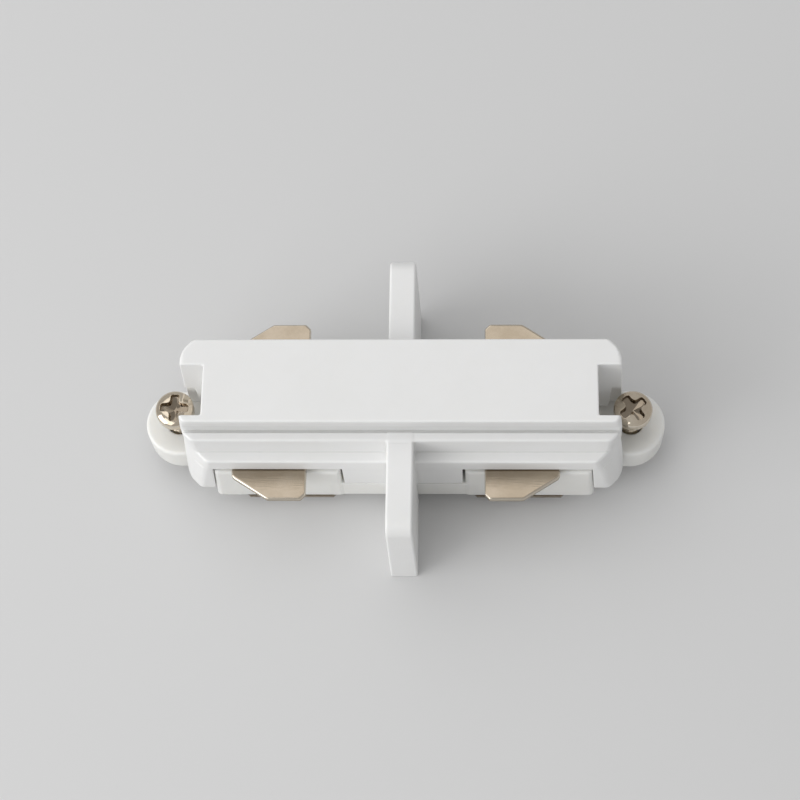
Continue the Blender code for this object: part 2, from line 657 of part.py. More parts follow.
def build_carrier(group, cutters, finish):
    """The lower moulding: base, two contact blocks and the two screw tongues."""
    half_width = BASE_HALF_WIDTH
    reach = BLOCK_INNER_X + LOOSE
    work = bmesh.new()
    add_box(work, (-reach, -half_width, CARRIER_BASE_Z), (reach, half_width, CARRIER_BASE_TOP_Z))
    carrier = finish_mesh(work, "contact_carrier", group)
    for side, label in SIDES:
        add_carrier_end(carrier, side, label, cutters)
    cut_carrier_cores(carrier, cutters)
    drill_carrier(carrier, cutters)
    carrier.data.materials.append(finish)


def contact_outline(side, across):
    """Plan of one spring contact, from its root to its slanted tip."""
    inner = contact_x(side)
    outer = inner + CONTACT_WIDTH
    points = [
        (inner, BUS_INNER_Y),
        (outer, BUS_INNER_Y),
        (outer, CONTACT_TIP_Y - CONTACT_SLANT),
        (inner + CONTACT_TIP_WIDTH, CONTACT_TIP_Y),
        (inner + CONTACT_CORNER, CONTACT_TIP_Y),
        (inner, CONTACT_TIP_Y - CONTACT_CORNER),
    ]
    return [(side * x, across * y) for x, y in points]


def rivet_place(side, across):
    """Centre of the rivet that holds a contact."""
    return (side * (contact_x(side) + CONTACT_WIDTH / 2.0), across * BUS_Y)


def build_contact(label, side, across, group, cutters, finish):
    """One flat spring contact that reaches into the track's conductor."""
    name = "contact_" + label
    outline = contact_outline(side, across)
    contact = flat_piece(name, outline, CONTACT_BOTTOM_Z, CONTACT_TOP_Z, group)
    work = bmesh.new()
    place = rivet_place(side, across)
    add_post(work, RIVET_RADIUS + GAP, CONTACT_BOTTOM_Z - LOOSE, CONTACT_TOP_Z + LOOSE, place)
    cut(contact, work, "trim_" + name, cutters)
    contact.data.materials.append(finish)


def build_bus_bar(label, across, group, cutters, finish):
    """Flat bar that joins the left and right contacts of one pole."""
    left = rivet_place(-1.0, across)[0] - BUS_END_MARGIN
    right = rivet_place(1.0, across)[0] + BUS_END_MARGIN
    low_y = across * BUS_Y - BUS_WIDTH / 2.0
    work = bmesh.new()
    add_box(work, (left, low_y, BUS_BOTTOM_Z), (right, low_y + BUS_WIDTH, BUS_TOP_Z))
    bar = finish_mesh(work, "bus_bar_" + label, group)
    work = bmesh.new()
    for side, _ in SIDES:
        place = rivet_place(side, across)
        add_post(work, RIVET_RADIUS + GAP, BUS_BOTTOM_Z - LOOSE, BUS_TOP_Z + LOOSE, place)
    cut(bar, work, "trim_bus_bar_" + label, cutters)
    bar.data.materials.append(finish)


def build_rivet(label, side, across, group, finish):
    """Rivet that joins one contact to its bus bar."""
    top = BUS_TOP_Z + GAP
    foot = CONTACT_BOTTOM_Z - GAP
    shoulder = RIVET_HEAD_HEIGHT / 2.0
    profile = [
        (0.0, top + RIVET_HEAD_HEIGHT),
        (RIVET_CROWN_RADIUS, top + RIVET_HEAD_HEIGHT),
        (RIVET_HEAD_RADIUS, top + shoulder),
        (RIVET_HEAD_RADIUS, top),
        (RIVET_RADIUS, top),
        (RIVET_RADIUS, foot),
        (RIVET_HEAD_RADIUS, foot),
        (RIVET_HEAD_RADIUS, foot - shoulder),
        (RIVET_CROWN_RADIUS, foot - RIVET_HEAD_HEIGHT),
        (0.0, foot - RIVET_HEAD_HEIGHT),
    ]
    rivet = turned("rivet_" + label, profile, SMALL_ROUND_STEPS, group)
    rivet.location = (*rivet_place(side, across), 0.0)
    rivet.data.materials.append(finish)


def earth_outline():
    """Plan of the earth plate: two wide pads and the strip between them."""
    centre = (BLOCK_INNER_X + BLOCK_OUTER_X) / 2.0 - EARTH_PAD_INSET
    near = centre - EARTH_PAD_LENGTH / 2.0
    far = centre + EARTH_PAD_LENGTH / 2.0
    quarter = [
        (far, BLOCK_HALF_WIDTH - EARTH_CORNER),
        (far - EARTH_CORNER, BLOCK_HALF_WIDTH),
        (near + EARTH_CORNER, BLOCK_HALF_WIDTH),
        (near, BLOCK_HALF_WIDTH - EARTH_CORNER),
        (near, EARTH_STRIP_WIDTH / 2.0),
    ]
    half = quarter + [(-x, y) for x, y in reversed(quarter)]
    return half + [(x, -y) for x, y in reversed(half)]


def build_earth_plate(group, cutters, finish):
    """Plate under the carrier that joins the earth of the two tracks."""
    plate = flat_piece("earth_plate", earth_outline(), EARTH_BOTTOM_Z, EARTH_TOP_Z, group)
    work = bmesh.new()
    for x in ASSEMBLY_PLACES:
        add_post(work, ASSEMBLY_HOLE_RADIUS, EARTH_BOTTOM_Z - LOOSE, EARTH_TOP_Z + LOOSE, (x, 0.0))
    cut(plate, work, "trim_earth_plate", cutters)
    plate.data.materials.append(finish)


def cross_outline(span, width):
    """Plan of a cross with four equal arms."""
    points = []
    for quarter in range(4):
        angle = quarter * math.pi / 2.0
        along = Vector((math.cos(angle), math.sin(angle)))
        side = Vector((-along.y, along.x))
        points.extend([along * span - side * width, along * span + side * width])
        points.append((along + side) * width * RECESS_WEB)
    return [(point.x / 2.0, point.y / 2.0) for point in points]


def recess(name, span, width, mouth_z, floor_z, cutters):
    """Cross-shaped cutter for a screw head, narrower at its floor than at its mouth."""
    low = min(mouth_z, floor_z)
    high = max(mouth_z, floor_z)
    if mouth_z > floor_z:
        high += RECESS_OVERRUN
    else:
        low -= RECESS_OVERRUN
    cutter = flat_piece(name, cross_outline(span, width), low, high, cutters)
    middle = (low + high) / 2.0
    for vertex in cutter.data.vertices:
        if (vertex.co.z + middle > middle) == (floor_z > mouth_z):
            vertex.co.x *= RECESS_TAPER
            vertex.co.y *= RECESS_TAPER
    return as_helper(cutter)


def clamp_profile():
    """Outline of a clamp screw from crown to tip, with its thread as plain rings."""
    rim_z = CLAMP_SEAT_Z + CLAMP_HEAD_RIM
    profile = [(0.0, rim_z + CLAMP_HEAD_DOME * math.sin(CLAMP_DOME_SWEEP))]
    for step in range(CLAMP_DOME_STEPS, -1, -1):
        angle = CLAMP_DOME_SWEEP * step / CLAMP_DOME_STEPS
        profile.append((CLAMP_HEAD_RADIUS * math.cos(angle), rim_z + CLAMP_HEAD_DOME * math.sin(angle)))
    profile.append((CLAMP_HEAD_RADIUS, CLAMP_SEAT_Z))
    profile.append((CLAMP_ROOT_RADIUS, CLAMP_SEAT_Z))
    shoulder_z = CLAMP_TIP_Z + CLAMP_TIP_LENGTH
    turns = int((CLAMP_SEAT_Z - CLAMP_NECK - shoulder_z) / CLAMP_PITCH)
    for turn in range(turns, 0, -1):
        profile.append((CLAMP_ROOT_RADIUS, shoulder_z + turn * CLAMP_PITCH))
        profile.append((CLAMP_THREAD_RADIUS, shoulder_z + (turn - 0.5) * CLAMP_PITCH))
    profile.append((CLAMP_ROOT_RADIUS, shoulder_z))
    profile.append((CLAMP_TIP_RADIUS, CLAMP_TIP_Z))
    profile.append((0.0, CLAMP_TIP_Z))
    return profile


def build_clamp_screw(label, side, group, cutters, finish):
    """Cross-headed screw that locks the connector in one track."""
    screw = turned("clamp_screw_" + label, clamp_profile(), ROUND_STEPS, group)
    screw.location = (side * SCREW_X, 0.0, 0.0)
    crown_z = CLAMP_SEAT_Z + CLAMP_HEAD_RIM + CLAMP_HEAD_DOME
    name = "trim_clamp_screw_" + label
    cutter = recess(name, RECESS_SPAN, RECESS_WIDTH, crown_z, crown_z - RECESS_DEPTH, cutters)
    cutter.location.x = side * SCREW_X
    join_by(screw, cutter, "DIFFERENCE")
    screw.data.materials.append(finish)


def build_nut(label, side, group, cutters, finish):
    """Hexagonal nut held in a tongue's pocket."""
    place = (side * SCREW_X, 0.0)
    work = bmesh.new()
    add_hexagon(work, NUT_ACROSS_FLATS, NUT_BOTTOM_Z, NUT_BOTTOM_Z + NUT_HEIGHT, place)
    nut = finish_mesh(work, "clamp_nut_" + label, group)
    work = bmesh.new()
    add_post(work, THREAD_HOLE_RADIUS, NUT_BOTTOM_Z - LOOSE, NUT_BOTTOM_Z + NUT_HEIGHT + LOOSE, place)
    cut(nut, work, "trim_clamp_nut_" + label, cutters)
    nut.data.materials.append(finish)


def build_assembly_screw(number, x, group, cutters, finish):
    """Small screw driven from below that holds plate, carrier and housing together."""
    head_z = ASSEMBLY_SEAT_Z - ASSEMBLY_HEAD_HEIGHT
    profile = [
        (0.0, ASSEMBLY_TOP_Z),
        (ASSEMBLY_TIP_RADIUS, ASSEMBLY_TOP_Z),
        (ASSEMBLY_RADIUS, ASSEMBLY_TOP_Z - ASSEMBLY_TIP_LENGTH),
        (ASSEMBLY_RADIUS, ASSEMBLY_SEAT_Z),
        (ASSEMBLY_HEAD_RADIUS, ASSEMBLY_SEAT_Z),
        (ASSEMBLY_HEAD_RADIUS, ASSEMBLY_SEAT_Z - ASSEMBLY_RIM_HEIGHT),
        (ASSEMBLY_CROWN_RADIUS, head_z),
        (0.0, head_z),
    ]
    screw = turned("assembly_screw_" + str(number), profile, SMALL_ROUND_STEPS, group)
    screw.location = (x, 0.0, 0.0)
    name = "trim_assembly_screw_" + str(number)
    floor_z = head_z + ASSEMBLY_RECESS_DEPTH
    cutter = recess(name, ASSEMBLY_RECESS_SPAN, ASSEMBLY_RECESS_WIDTH, head_z, floor_z, cutters)
    cutter.location.x = x
    join_by(screw, cutter, "DIFFERENCE")
    screw.data.materials.append(finish)


def build_contact_set(group, cutters):
    """The live parts: bars, spring contacts and the rivets between them."""
    contact_finish = material("contact_nickel", (0.55, 0.47, 0.36), 0.28, 1.0)
    bar_finish = material("bus_bar_brass", (0.62, 0.48, 0.26), 0.32, 1.0)
    rivet_finish = material("rivet_brass", (0.60, 0.47, 0.27), 0.35, 1.0)
    for across, row in ROWS:
        build_bus_bar(row, across, group, cutters, bar_finish)
        for side, end in SIDES:
            label = row + "_" + end
            build_contact(label, side, across, group, cutters, contact_finish)
            build_rivet(label, side, across, group, rivet_finish)


def build_fasteners(group, cutters):
    """The clamp screws with their nuts, and the assembly screws."""
    clamp_finish = material("clamp_screw_nickel", (0.66, 0.60, 0.50), 0.18, 1.0)
    nut_finish = material("nut_zinc", (0.60, 0.60, 0.58), 0.30, 1.0)
    assembly_finish = material("assembly_screw_zinc", (0.58, 0.58, 0.57), 0.32, 1.0)
    for side, end in SIDES:
        build_clamp_screw(end, side, group, cutters, clamp_finish)
        build_nut(end, side, group, cutters, nut_finish)
    for number, x in enumerate(ASSEMBLY_PLACES, start=1):
        build_assembly_screw(number, x, group, cutters, assembly_finish)


def main():
    """Build every piece of the connector."""
    clear_scene()
    group = new_collection(COLLECTION_NAME, False)
    cutters = new_collection("cutters", True)
    build_housing(group, cutters, material("housing_white_plastic", (0.78, 0.78, 0.76), 0.42, 0.0))
    build_carrier(group, cutters, material("carrier_white_plastic", (0.74, 0.74, 0.71), 0.45, 0.0))
    build_earth_plate(group, cutters, material("earth_plate_nickel", (0.50, 0.44, 0.35), 0.34, 1.0))
    build_contact_set(group, cutters)
    build_fasteners(group, cutters)


main()
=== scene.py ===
"""Looks of a straight connector for single-circuit lighting track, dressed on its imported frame.

X runs along the track, Y across it and Z up. The frame is in metres. The piece is small, so the
classes hold their sizes in millimetres and MM turns them into metres when a mesh is made.
"""

import logging
import math
from collections.abc import Callable, Sequence
from dataclasses import dataclass
from enum import Enum
from functools import cache

import bpy
import numpy as np
from mathutils import Matrix, Vector


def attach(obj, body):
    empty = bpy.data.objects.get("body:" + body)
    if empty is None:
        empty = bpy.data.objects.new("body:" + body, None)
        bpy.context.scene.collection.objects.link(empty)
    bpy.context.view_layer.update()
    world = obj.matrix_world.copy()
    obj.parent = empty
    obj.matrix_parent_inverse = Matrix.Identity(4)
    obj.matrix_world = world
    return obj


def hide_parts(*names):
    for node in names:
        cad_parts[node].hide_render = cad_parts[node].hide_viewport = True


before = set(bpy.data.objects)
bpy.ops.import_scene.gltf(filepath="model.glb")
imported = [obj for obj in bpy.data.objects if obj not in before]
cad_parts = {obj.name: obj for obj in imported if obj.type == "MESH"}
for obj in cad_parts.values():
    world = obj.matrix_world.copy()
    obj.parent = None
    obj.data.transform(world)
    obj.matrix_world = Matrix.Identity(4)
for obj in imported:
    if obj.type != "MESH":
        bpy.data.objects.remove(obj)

MM = 0.001
LOG = logging.getLogger("connector")
TURN = 2.0 * math.pi
TINY = 1e-6
LEAST_STEEPNESS = 0.2
LONGEST_SHIFT = 0.1
SHARP_ANGLE = 32.0

Array = np.ndarray
Pair = tuple[float, float]
Triple = tuple[float, float, float]
Colour = tuple[float, float, float, float]
Node = bpy.types.Node
Socket = bpy.types.NodeSocket
Field = Callable[[Array, Array, Array], Array]


class Body(Enum):
    """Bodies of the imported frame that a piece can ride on."""

    MAIN = "body"
    LEFT_CLAMP = "left_clamp"
    RIGHT_CLAMP = "right_clamp"


class Slot(Enum):
    """Material slots of the record."""

    HOUSING = "housing_plastic"
    CARRIER = "carrier_plastic"
    NICKEL = "nickel_plate"
    BRASS = "brass_bar"
    SCREW = "screw_nickel"
    ZINC = "zinc_steel"


class Half(Enum):
    """One half of the connector, by the sign of a coordinate."""

    @property
    def label(self) -> str:
        """Word used in piece names."""
        return self.name.lower()


class Side(Half):
    """The two ends of the connector, with the sign of their X."""

    LEFT = -1.0
    RIGHT = 1.0


class Row(Half):
    """The two long sides of the connector, with the sign of their Y."""

    FRONT = -1.0
    REAR = 1.0


# Sizes that more than one class uses, in millimetres.

SHELL_EDGE = 11.8
TRACK = 18.0
CLAMP_X = 27.73
ASSEMBLY_X = (5.0, 18.0)
CONTACT_INNER = {Side.LEFT: 11.5, Side.RIGHT: 9.9}
CONTACT_WIDTH = 9.0
RIVET_Y = 3.5


# Solids as fields: below zero inside, above zero outside, about a distance in millimetres.


def meet(first: Array, second: Array, radius: float = 0.0) -> Array:
    """Keep what both fields hold, with their common edge rounded to a radius."""
    # Near the edge: the length of how far each field comes within one radius of its face, less
    # the radius. Elsewhere: the larger of the two fields.
    rounded = np.hypot(np.maximum(first + radius, 0.0), np.maximum(second + radius, 0.0))
    return np.minimum(-radius, np.maximum(first, second)) + rounded


def join(first: Array, second: Array, radius: float = 0.0) -> Array:
    """Keep what either field holds, with a fillet in the corner between them."""
    return -meet(-first, -second, radius)


def carve(solid: Array, tool: Array, radius: float = 0.0) -> Array:
    """Take a tool's field out of a solid's, with the rim of the cut rounded."""
    return meet(solid, -tool, radius)


def between(values: Array, low: float | Array, high: float | Array) -> Array:
    """Field of a slab: half its width taken from the distance to its middle."""
    return np.abs(values - (low + high) / 2.0) - (high - low) / 2.0


def block(point: Sequence[Array], spans: Sequence[Pair], radius: float = 0.0) -> Array:
    """Field of a box with all its edges rounded.

    Args:
        point: The three coordinates.
        spans: Lowest and highest value of each coordinate.
        radius: Radius of the edges.

    Returns:
        Field values of the box.
    """
    slabs = [between(values, *span) + radius for values, span in zip(point, spans)]
    outside = np.sqrt(sum(np.maximum(slab, 0.0) ** 2 for slab in slabs))
    return outside + np.minimum(np.maximum.reduce(slabs), 0.0) - radius


def post(across: Array, along: Array, height: Array, radius: float, span: Pair) -> Array:
    """Field of an upright cylinder: distance to its axis less its radius, met with a slab."""
    return meet(np.hypot(across, along) - radius, between(height, *span))


def from_screws(along: Array, y: Array) -> Array:
    """Distance to the nearest assembly screw's axis, in plan."""
    return np.minimum(*(np.hypot(along - place, y) for place in ASSEMBLY_X))


@dataclass(frozen=True)
class Planes:
    """Sampling planes along one axis, close together where the shape has an edge."""

    edges: tuple[float, ...]
    low: float
    high: float
    radius: float = 0.25
    widest: float = 1.2
    offsets: tuple[float, ...] = (-1.15, -0.7, -0.3, 0.3, 0.7, 1.15)
    closest: float = 0.28

    def values(self) -> Array:
        """Place planes about each edge, drop those that nearly meet, and fill wide gaps.

        Returns:
            The planes in rising order.
        """
        near = np.add.outer(np.array(self.edges), self.radius * np.array(self.offsets)).ravel()
        known = np.sort(np.concatenate([near, [self.low, self.high]]))
        known = known[(known >= self.low) & (known <= self.high)]
        steps = np.round((known - self.low) / (self.radius * self.closest))
        known = known[np.unique(steps, return_index=True)[1]]
        gaps = np.diff(known)
        parts = np.ceil(gaps / self.widest).astype(int)
        filled = [start + gap * np.arange(count) / count for start, gap, count in zip(known, gaps, parts)]
        return np.append(np.concatenate(filled), known[-1])


def both_ways(values: tuple[float, ...]) -> tuple[float, ...]:
    """The values with those of the other sign."""
    return tuple(-value for value in values) + values


@dataclass
class Skin:
    """A surface as arrays: points in millimetres, faces, and values at the points."""

    points: Array
    faces: Array
    normals: Array | None = None
    edge: Array | None = None


def slope_of(shape: Field, points: Array, step: float = 0.004) -> Array:
    """Gradient of a field, from the difference of its values a small step to either side.

    Args:
        shape: The field.
        points: Points as rows.
        step: Half the distance between the two samples.

    Returns:
        One gradient a row.
    """
    shifts = step * np.eye(3)
    pairs = [shape(*(points + shift).T) - shape(*(points - shift).T) for shift in shifts]
    return np.stack(pairs, axis=1) / (2.0 * step)


def roundness(shape: Field, points: Array, step: float = 0.12, scale: float = 0.25) -> Array:
    """How strongly a surface bends: the field's six neighbours less six times its own value.

    Args:
        shape: The field.
        points: Points on the surface as rows.
        step: Distance of the neighbours.
        scale: What brings a sharp edge to about 1.

    Returns:
        About 1 on a sharp outer edge, 0 on a flat face and -1 in an inner corner.
    """
    shifts = step * np.eye(3)
    total = sum(shape(*(points + shift).T) + shape(*(points - shift).T) for shift in shifts)
    return np.clip((total - 6.0 * shape(*points.T)) / step**2 * scale, -1.0, 1.0)


def skin_of(shape: Field, planes: Sequence[Planes], lean: Field | None = None) -> Skin:
    """Wrap a closed surface round a field that is sampled on a lattice.

    Each lattice cell that the surface passes through gets one point, the mean of the places where
    the surface crosses the cell's edges. Each crossed edge joins the four cells round it into a
    face. Two Newton steps then move the points onto the surface, and its gradient is their normal.

    Args:
        shape: The field.
        planes: Sampling planes of the three axes.
        lean: Gives the X of each lattice point, where the lattice leans.

    Returns:
        The closed skin.
    """
    grid = np.meshgrid(*(axis.values() for axis in planes), indexing="ij")
    if lean is not None:
        grid[0] = lean(*grid)
    nodes = np.stack(grid, axis=-1)
    value = shape(*grid)
    inside = value < 0.0
    cells = tuple(size - 1 for size in value.shape)
    total = np.zeros((*cells, 3))
    count = np.zeros(cells)
    label = np.arange(math.prod(cells)).reshape(cells)
    faces = []
    for axis in range(3):
        ahead, behind = slice(1, None), slice(None, -1)
        lower = tuple(behind if other == axis else slice(None) for other in range(3))
        upper = tuple(ahead if other == axis else slice(None) for other in range(3))
        crossed = inside[lower] != inside[upper]
        drop = np.where(crossed, value[lower] - value[upper], 1.0)
        share = np.where(crossed, value[lower] / drop, 0.0)[..., None]
        place = (nodes[lower] + share * (nodes[upper] - nodes[lower])) * crossed[..., None]
        first, second = (axis + 1) % 3, (axis + 2) % 3
        for near in (ahead, behind):
            for far in (ahead, behind):
                edges = [slice(None)] * 3
                edges[first], edges[second] = near, far
                total += place[tuple(edges)]
                count += crossed[tuple(edges)]
        core = [slice(None)] * 3
        core[first] = core[second] = slice(1, -1)
        at_edge = np.nonzero(crossed[tuple(core)])
        corners = []
        for step_first, step_second in ((0, 0), (1, 0), (1, 1), (0, 1)):
            index = list(at_edge)
            index[first] = at_edge[first] + step_first
            index[second] = at_edge[second] + step_second
            corners.append(label[tuple(index)])
        quad = np.stack(corners, axis=1)
        outward = inside[lower][tuple(core)][at_edge]
        faces.append(np.where(outward[:, None], quad, quad[:, ::-1]))
    quads = np.concatenate(faces)
    used, flat = np.unique(quads, return_inverse=True)
    points = (total.reshape(-1, 3)[used]) / count.reshape(-1)[used][:, None]
    for _ in range(2):
        slope = slope_of(shape, points)
        steepness = np.maximum((slope**2).sum(1), LEAST_STEEPNESS)
        shift = shape(*points.T)[:, None] * slope / steepness[:, None]
        points = points - np.clip(shift, -LONGEST_SHIFT, LONGEST_SHIFT)
    slope = slope_of(shape, points)
    normals = slope / np.maximum(np.linalg.norm(slope, axis=1), TINY)[:, None]
    # The bend at each point becomes the edge attribute, which the finishes turn into painted highlight on
    # outer edges and painted shade in inner corners.
    return Skin(points, flat.reshape(quads.shape), normals, roundness(shape, points))


def closed_grid(points: Array) -> Array:
    """Faces of a grid whose columns close on themselves, rows running outward side left.

    Args:
        points: Grid of points, rows by columns by three.

    Returns:
        Faces as rows of four point numbers.
    """
    rows, columns = points.shape[:2]
    number = np.arange(rows * columns).reshape(rows, columns)
    turned = np.roll(number, -1, axis=1)
    quads = np.stack([number[:-1], turned[:-1], turned[1:], number[1:]], axis=-1)
    return quads.reshape(-1, 4)


def ring_skin(points: Array) -> Skin:
    """Close a grid in both directions, as a ring with a hole through it.

    Args:
        points: Grid of points whose last row joins its first.

    Returns:
        The closed skin.
    """
    rows, columns = points.shape[:2]
    looped = np.concatenate([points, points[:1]])
    faces = closed_grid(looped) % (rows * columns)
    return Skin(points.reshape(-1, 3), faces)


def capped_skin(points: Array) -> Skin:
    """Close a grid at both ends with fans about two poles, which are its first and last rows' means.

    Args:
        points: Grid of points; its columns close on themselves.

    Returns:
        The closed skin; the fans' faces are triangles, with -1 as their fourth point.
    """
    rows, columns = points.shape[:2]
    count = rows * columns
    poles = np.stack([points[0].mean(0), points[-1].mean(0)])
    column = np.arange(columns)
    following = np.roll(column, -1)
    none = np.full(columns, -1)
    first = np.stack([np.full(columns, count), following, column, none], axis=1)
    start = count - columns
    last = np.stack([np.full(columns, count + 1), start + column, start + following, none], axis=1)
    faces = np.concatenate([closed_grid(points), first, last])
    return Skin(np.concatenate([points.reshape(-1, 3), poles]), faces)


def arc(centre: Pair, radius: float, start: float, end: float, steps: int) -> Array:
    """Points along an arc in degrees: centre plus radius times the angle's cosine and sine."""
    angle = np.radians(np.linspace(start, end, steps + 1))
    return np.array(centre) + radius * np.stack([np.cos(angle), np.sin(angle)], axis=1)


def rounded_polygon(corners: Array, radii: Array, steps: int = 6) -> Array:
    """Round the corners of a convex outline.

    A corner becomes an arc that touches both its edges: its centre lies on the corner's bisector,
    at the radius over the sine of half the angle.

    Args:
        corners: Corners in turn, anticlockwise.
        radii: Radius of each corner.
        steps: Segments of each arc.

    Returns:
        The rounded outline.
    """
    back = np.roll(corners, 1, axis=0) - corners
    ahead = np.roll(corners, -1, axis=0) - corners
    back /= np.linalg.norm(back, axis=1)[:, None]
    ahead /= np.linalg.norm(ahead, axis=1)[:, None]
    half = np.arccos(np.clip((back * ahead).sum(1), -1.0, 1.0)) / 2.0
    bisector = (back + ahead) / np.linalg.norm(back + ahead, axis=1)[:, None]
    centres = corners + bisector * (radii / np.sin(half))[:, None]
    touch = corners + back * (radii / np.tan(half))[:, None] - centres
    start = np.arctan2(touch[:, 1], touch[:, 0])
    angle = start[:, None] + (math.pi - 2.0 * half)[:, None] * np.linspace(0.0, 1.0, steps + 1)
    ring = np.stack([np.cos(angle), np.sin(angle)], axis=-1) * radii[:, None, None]
    return (centres[:, None] + ring).reshape(-1, 2)


def even_outline(outline: Array, count: int) -> Array:
    """Walk round an outline and set points at even distances, keeping its shape.

    Args:
        outline: Closed outline.
        count: Number of points wanted.

    Returns:
        Points spaced evenly along the outline.
    """
    closed = np.vstack([outline, outline[:1]])
    travelled = np.concatenate([[0.0], np.cumsum(np.linalg.norm(np.diff(closed, axis=0), axis=1))])
    stops = np.linspace(0.0, travelled[-1], count, endpoint=False)
    return np.stack([np.interp(stops, travelled, closed[:, axis]) for axis in range(2)], axis=1)


def add_object(name: str, data: bpy.types.ID) -> bpy.types.Object:
    """Put an object into the scene.

    Args:
        name: Name of the object.
        data: Its mesh, lamp or camera.

    Returns:
        The object.
    """
    made = bpy.data.objects.new(name, data)
    bpy.context.scene.collection.objects.link(made)
    return made


def make_piece(name: str, skin: Skin, finish: "Finish", body: Body, node: str) -> None:
    """Turn a skin into a piece that rides on a body and stands for a CAD node.

    The piece lies at the origin, with its place in its mesh.

    Args:
        name: Name of the piece.
        skin: The surface, in millimetres.
        finish: The finish that dresses it.
        body: The body that it rides on.
        node: The CAD node that it stands for.
    """
    mesh = bpy.data.meshes.new(name)
    starts = np.cumsum(np.where(skin.faces[:, 3] < 0, 3, 4)[:-1])
    loops = skin.faces[skin.faces >= 0]
    mesh.vertices.add(len(skin.points))
    mesh.loops.add(len(loops))
    mesh.polygons.add(len(skin.faces))
    mesh.vertices.foreach_set("co", (skin.points * MM).astype(np.float32).ravel())
    mesh.loops.foreach_set("vertex_index", loops.astype(np.int32))
    mesh.polygons.foreach_set("loop_start", np.append(0, starts).astype(np.int32))
    mesh.update(calc_edges=True)
    mesh.shade_smooth()
    if skin.normals is None:
        mesh.set_sharp_from_angle(angle=math.radians(SHARP_ANGLE))
    else:
        mesh.normals_split_custom_set_from_vertices(skin.normals.tolist())
    if skin.edge is not None:
        attribute = mesh.attributes.new("edge", "FLOAT", "POINT")
        attribute.data.foreach_set("value", skin.edge.astype(np.float32))
    piece = add_object(name, mesh)
    finish.dress(piece)
    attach(piece, body.value)
    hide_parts(node)
    LOG.info("%s: %d faces, on %s", name, len(skin.faces), body.value)


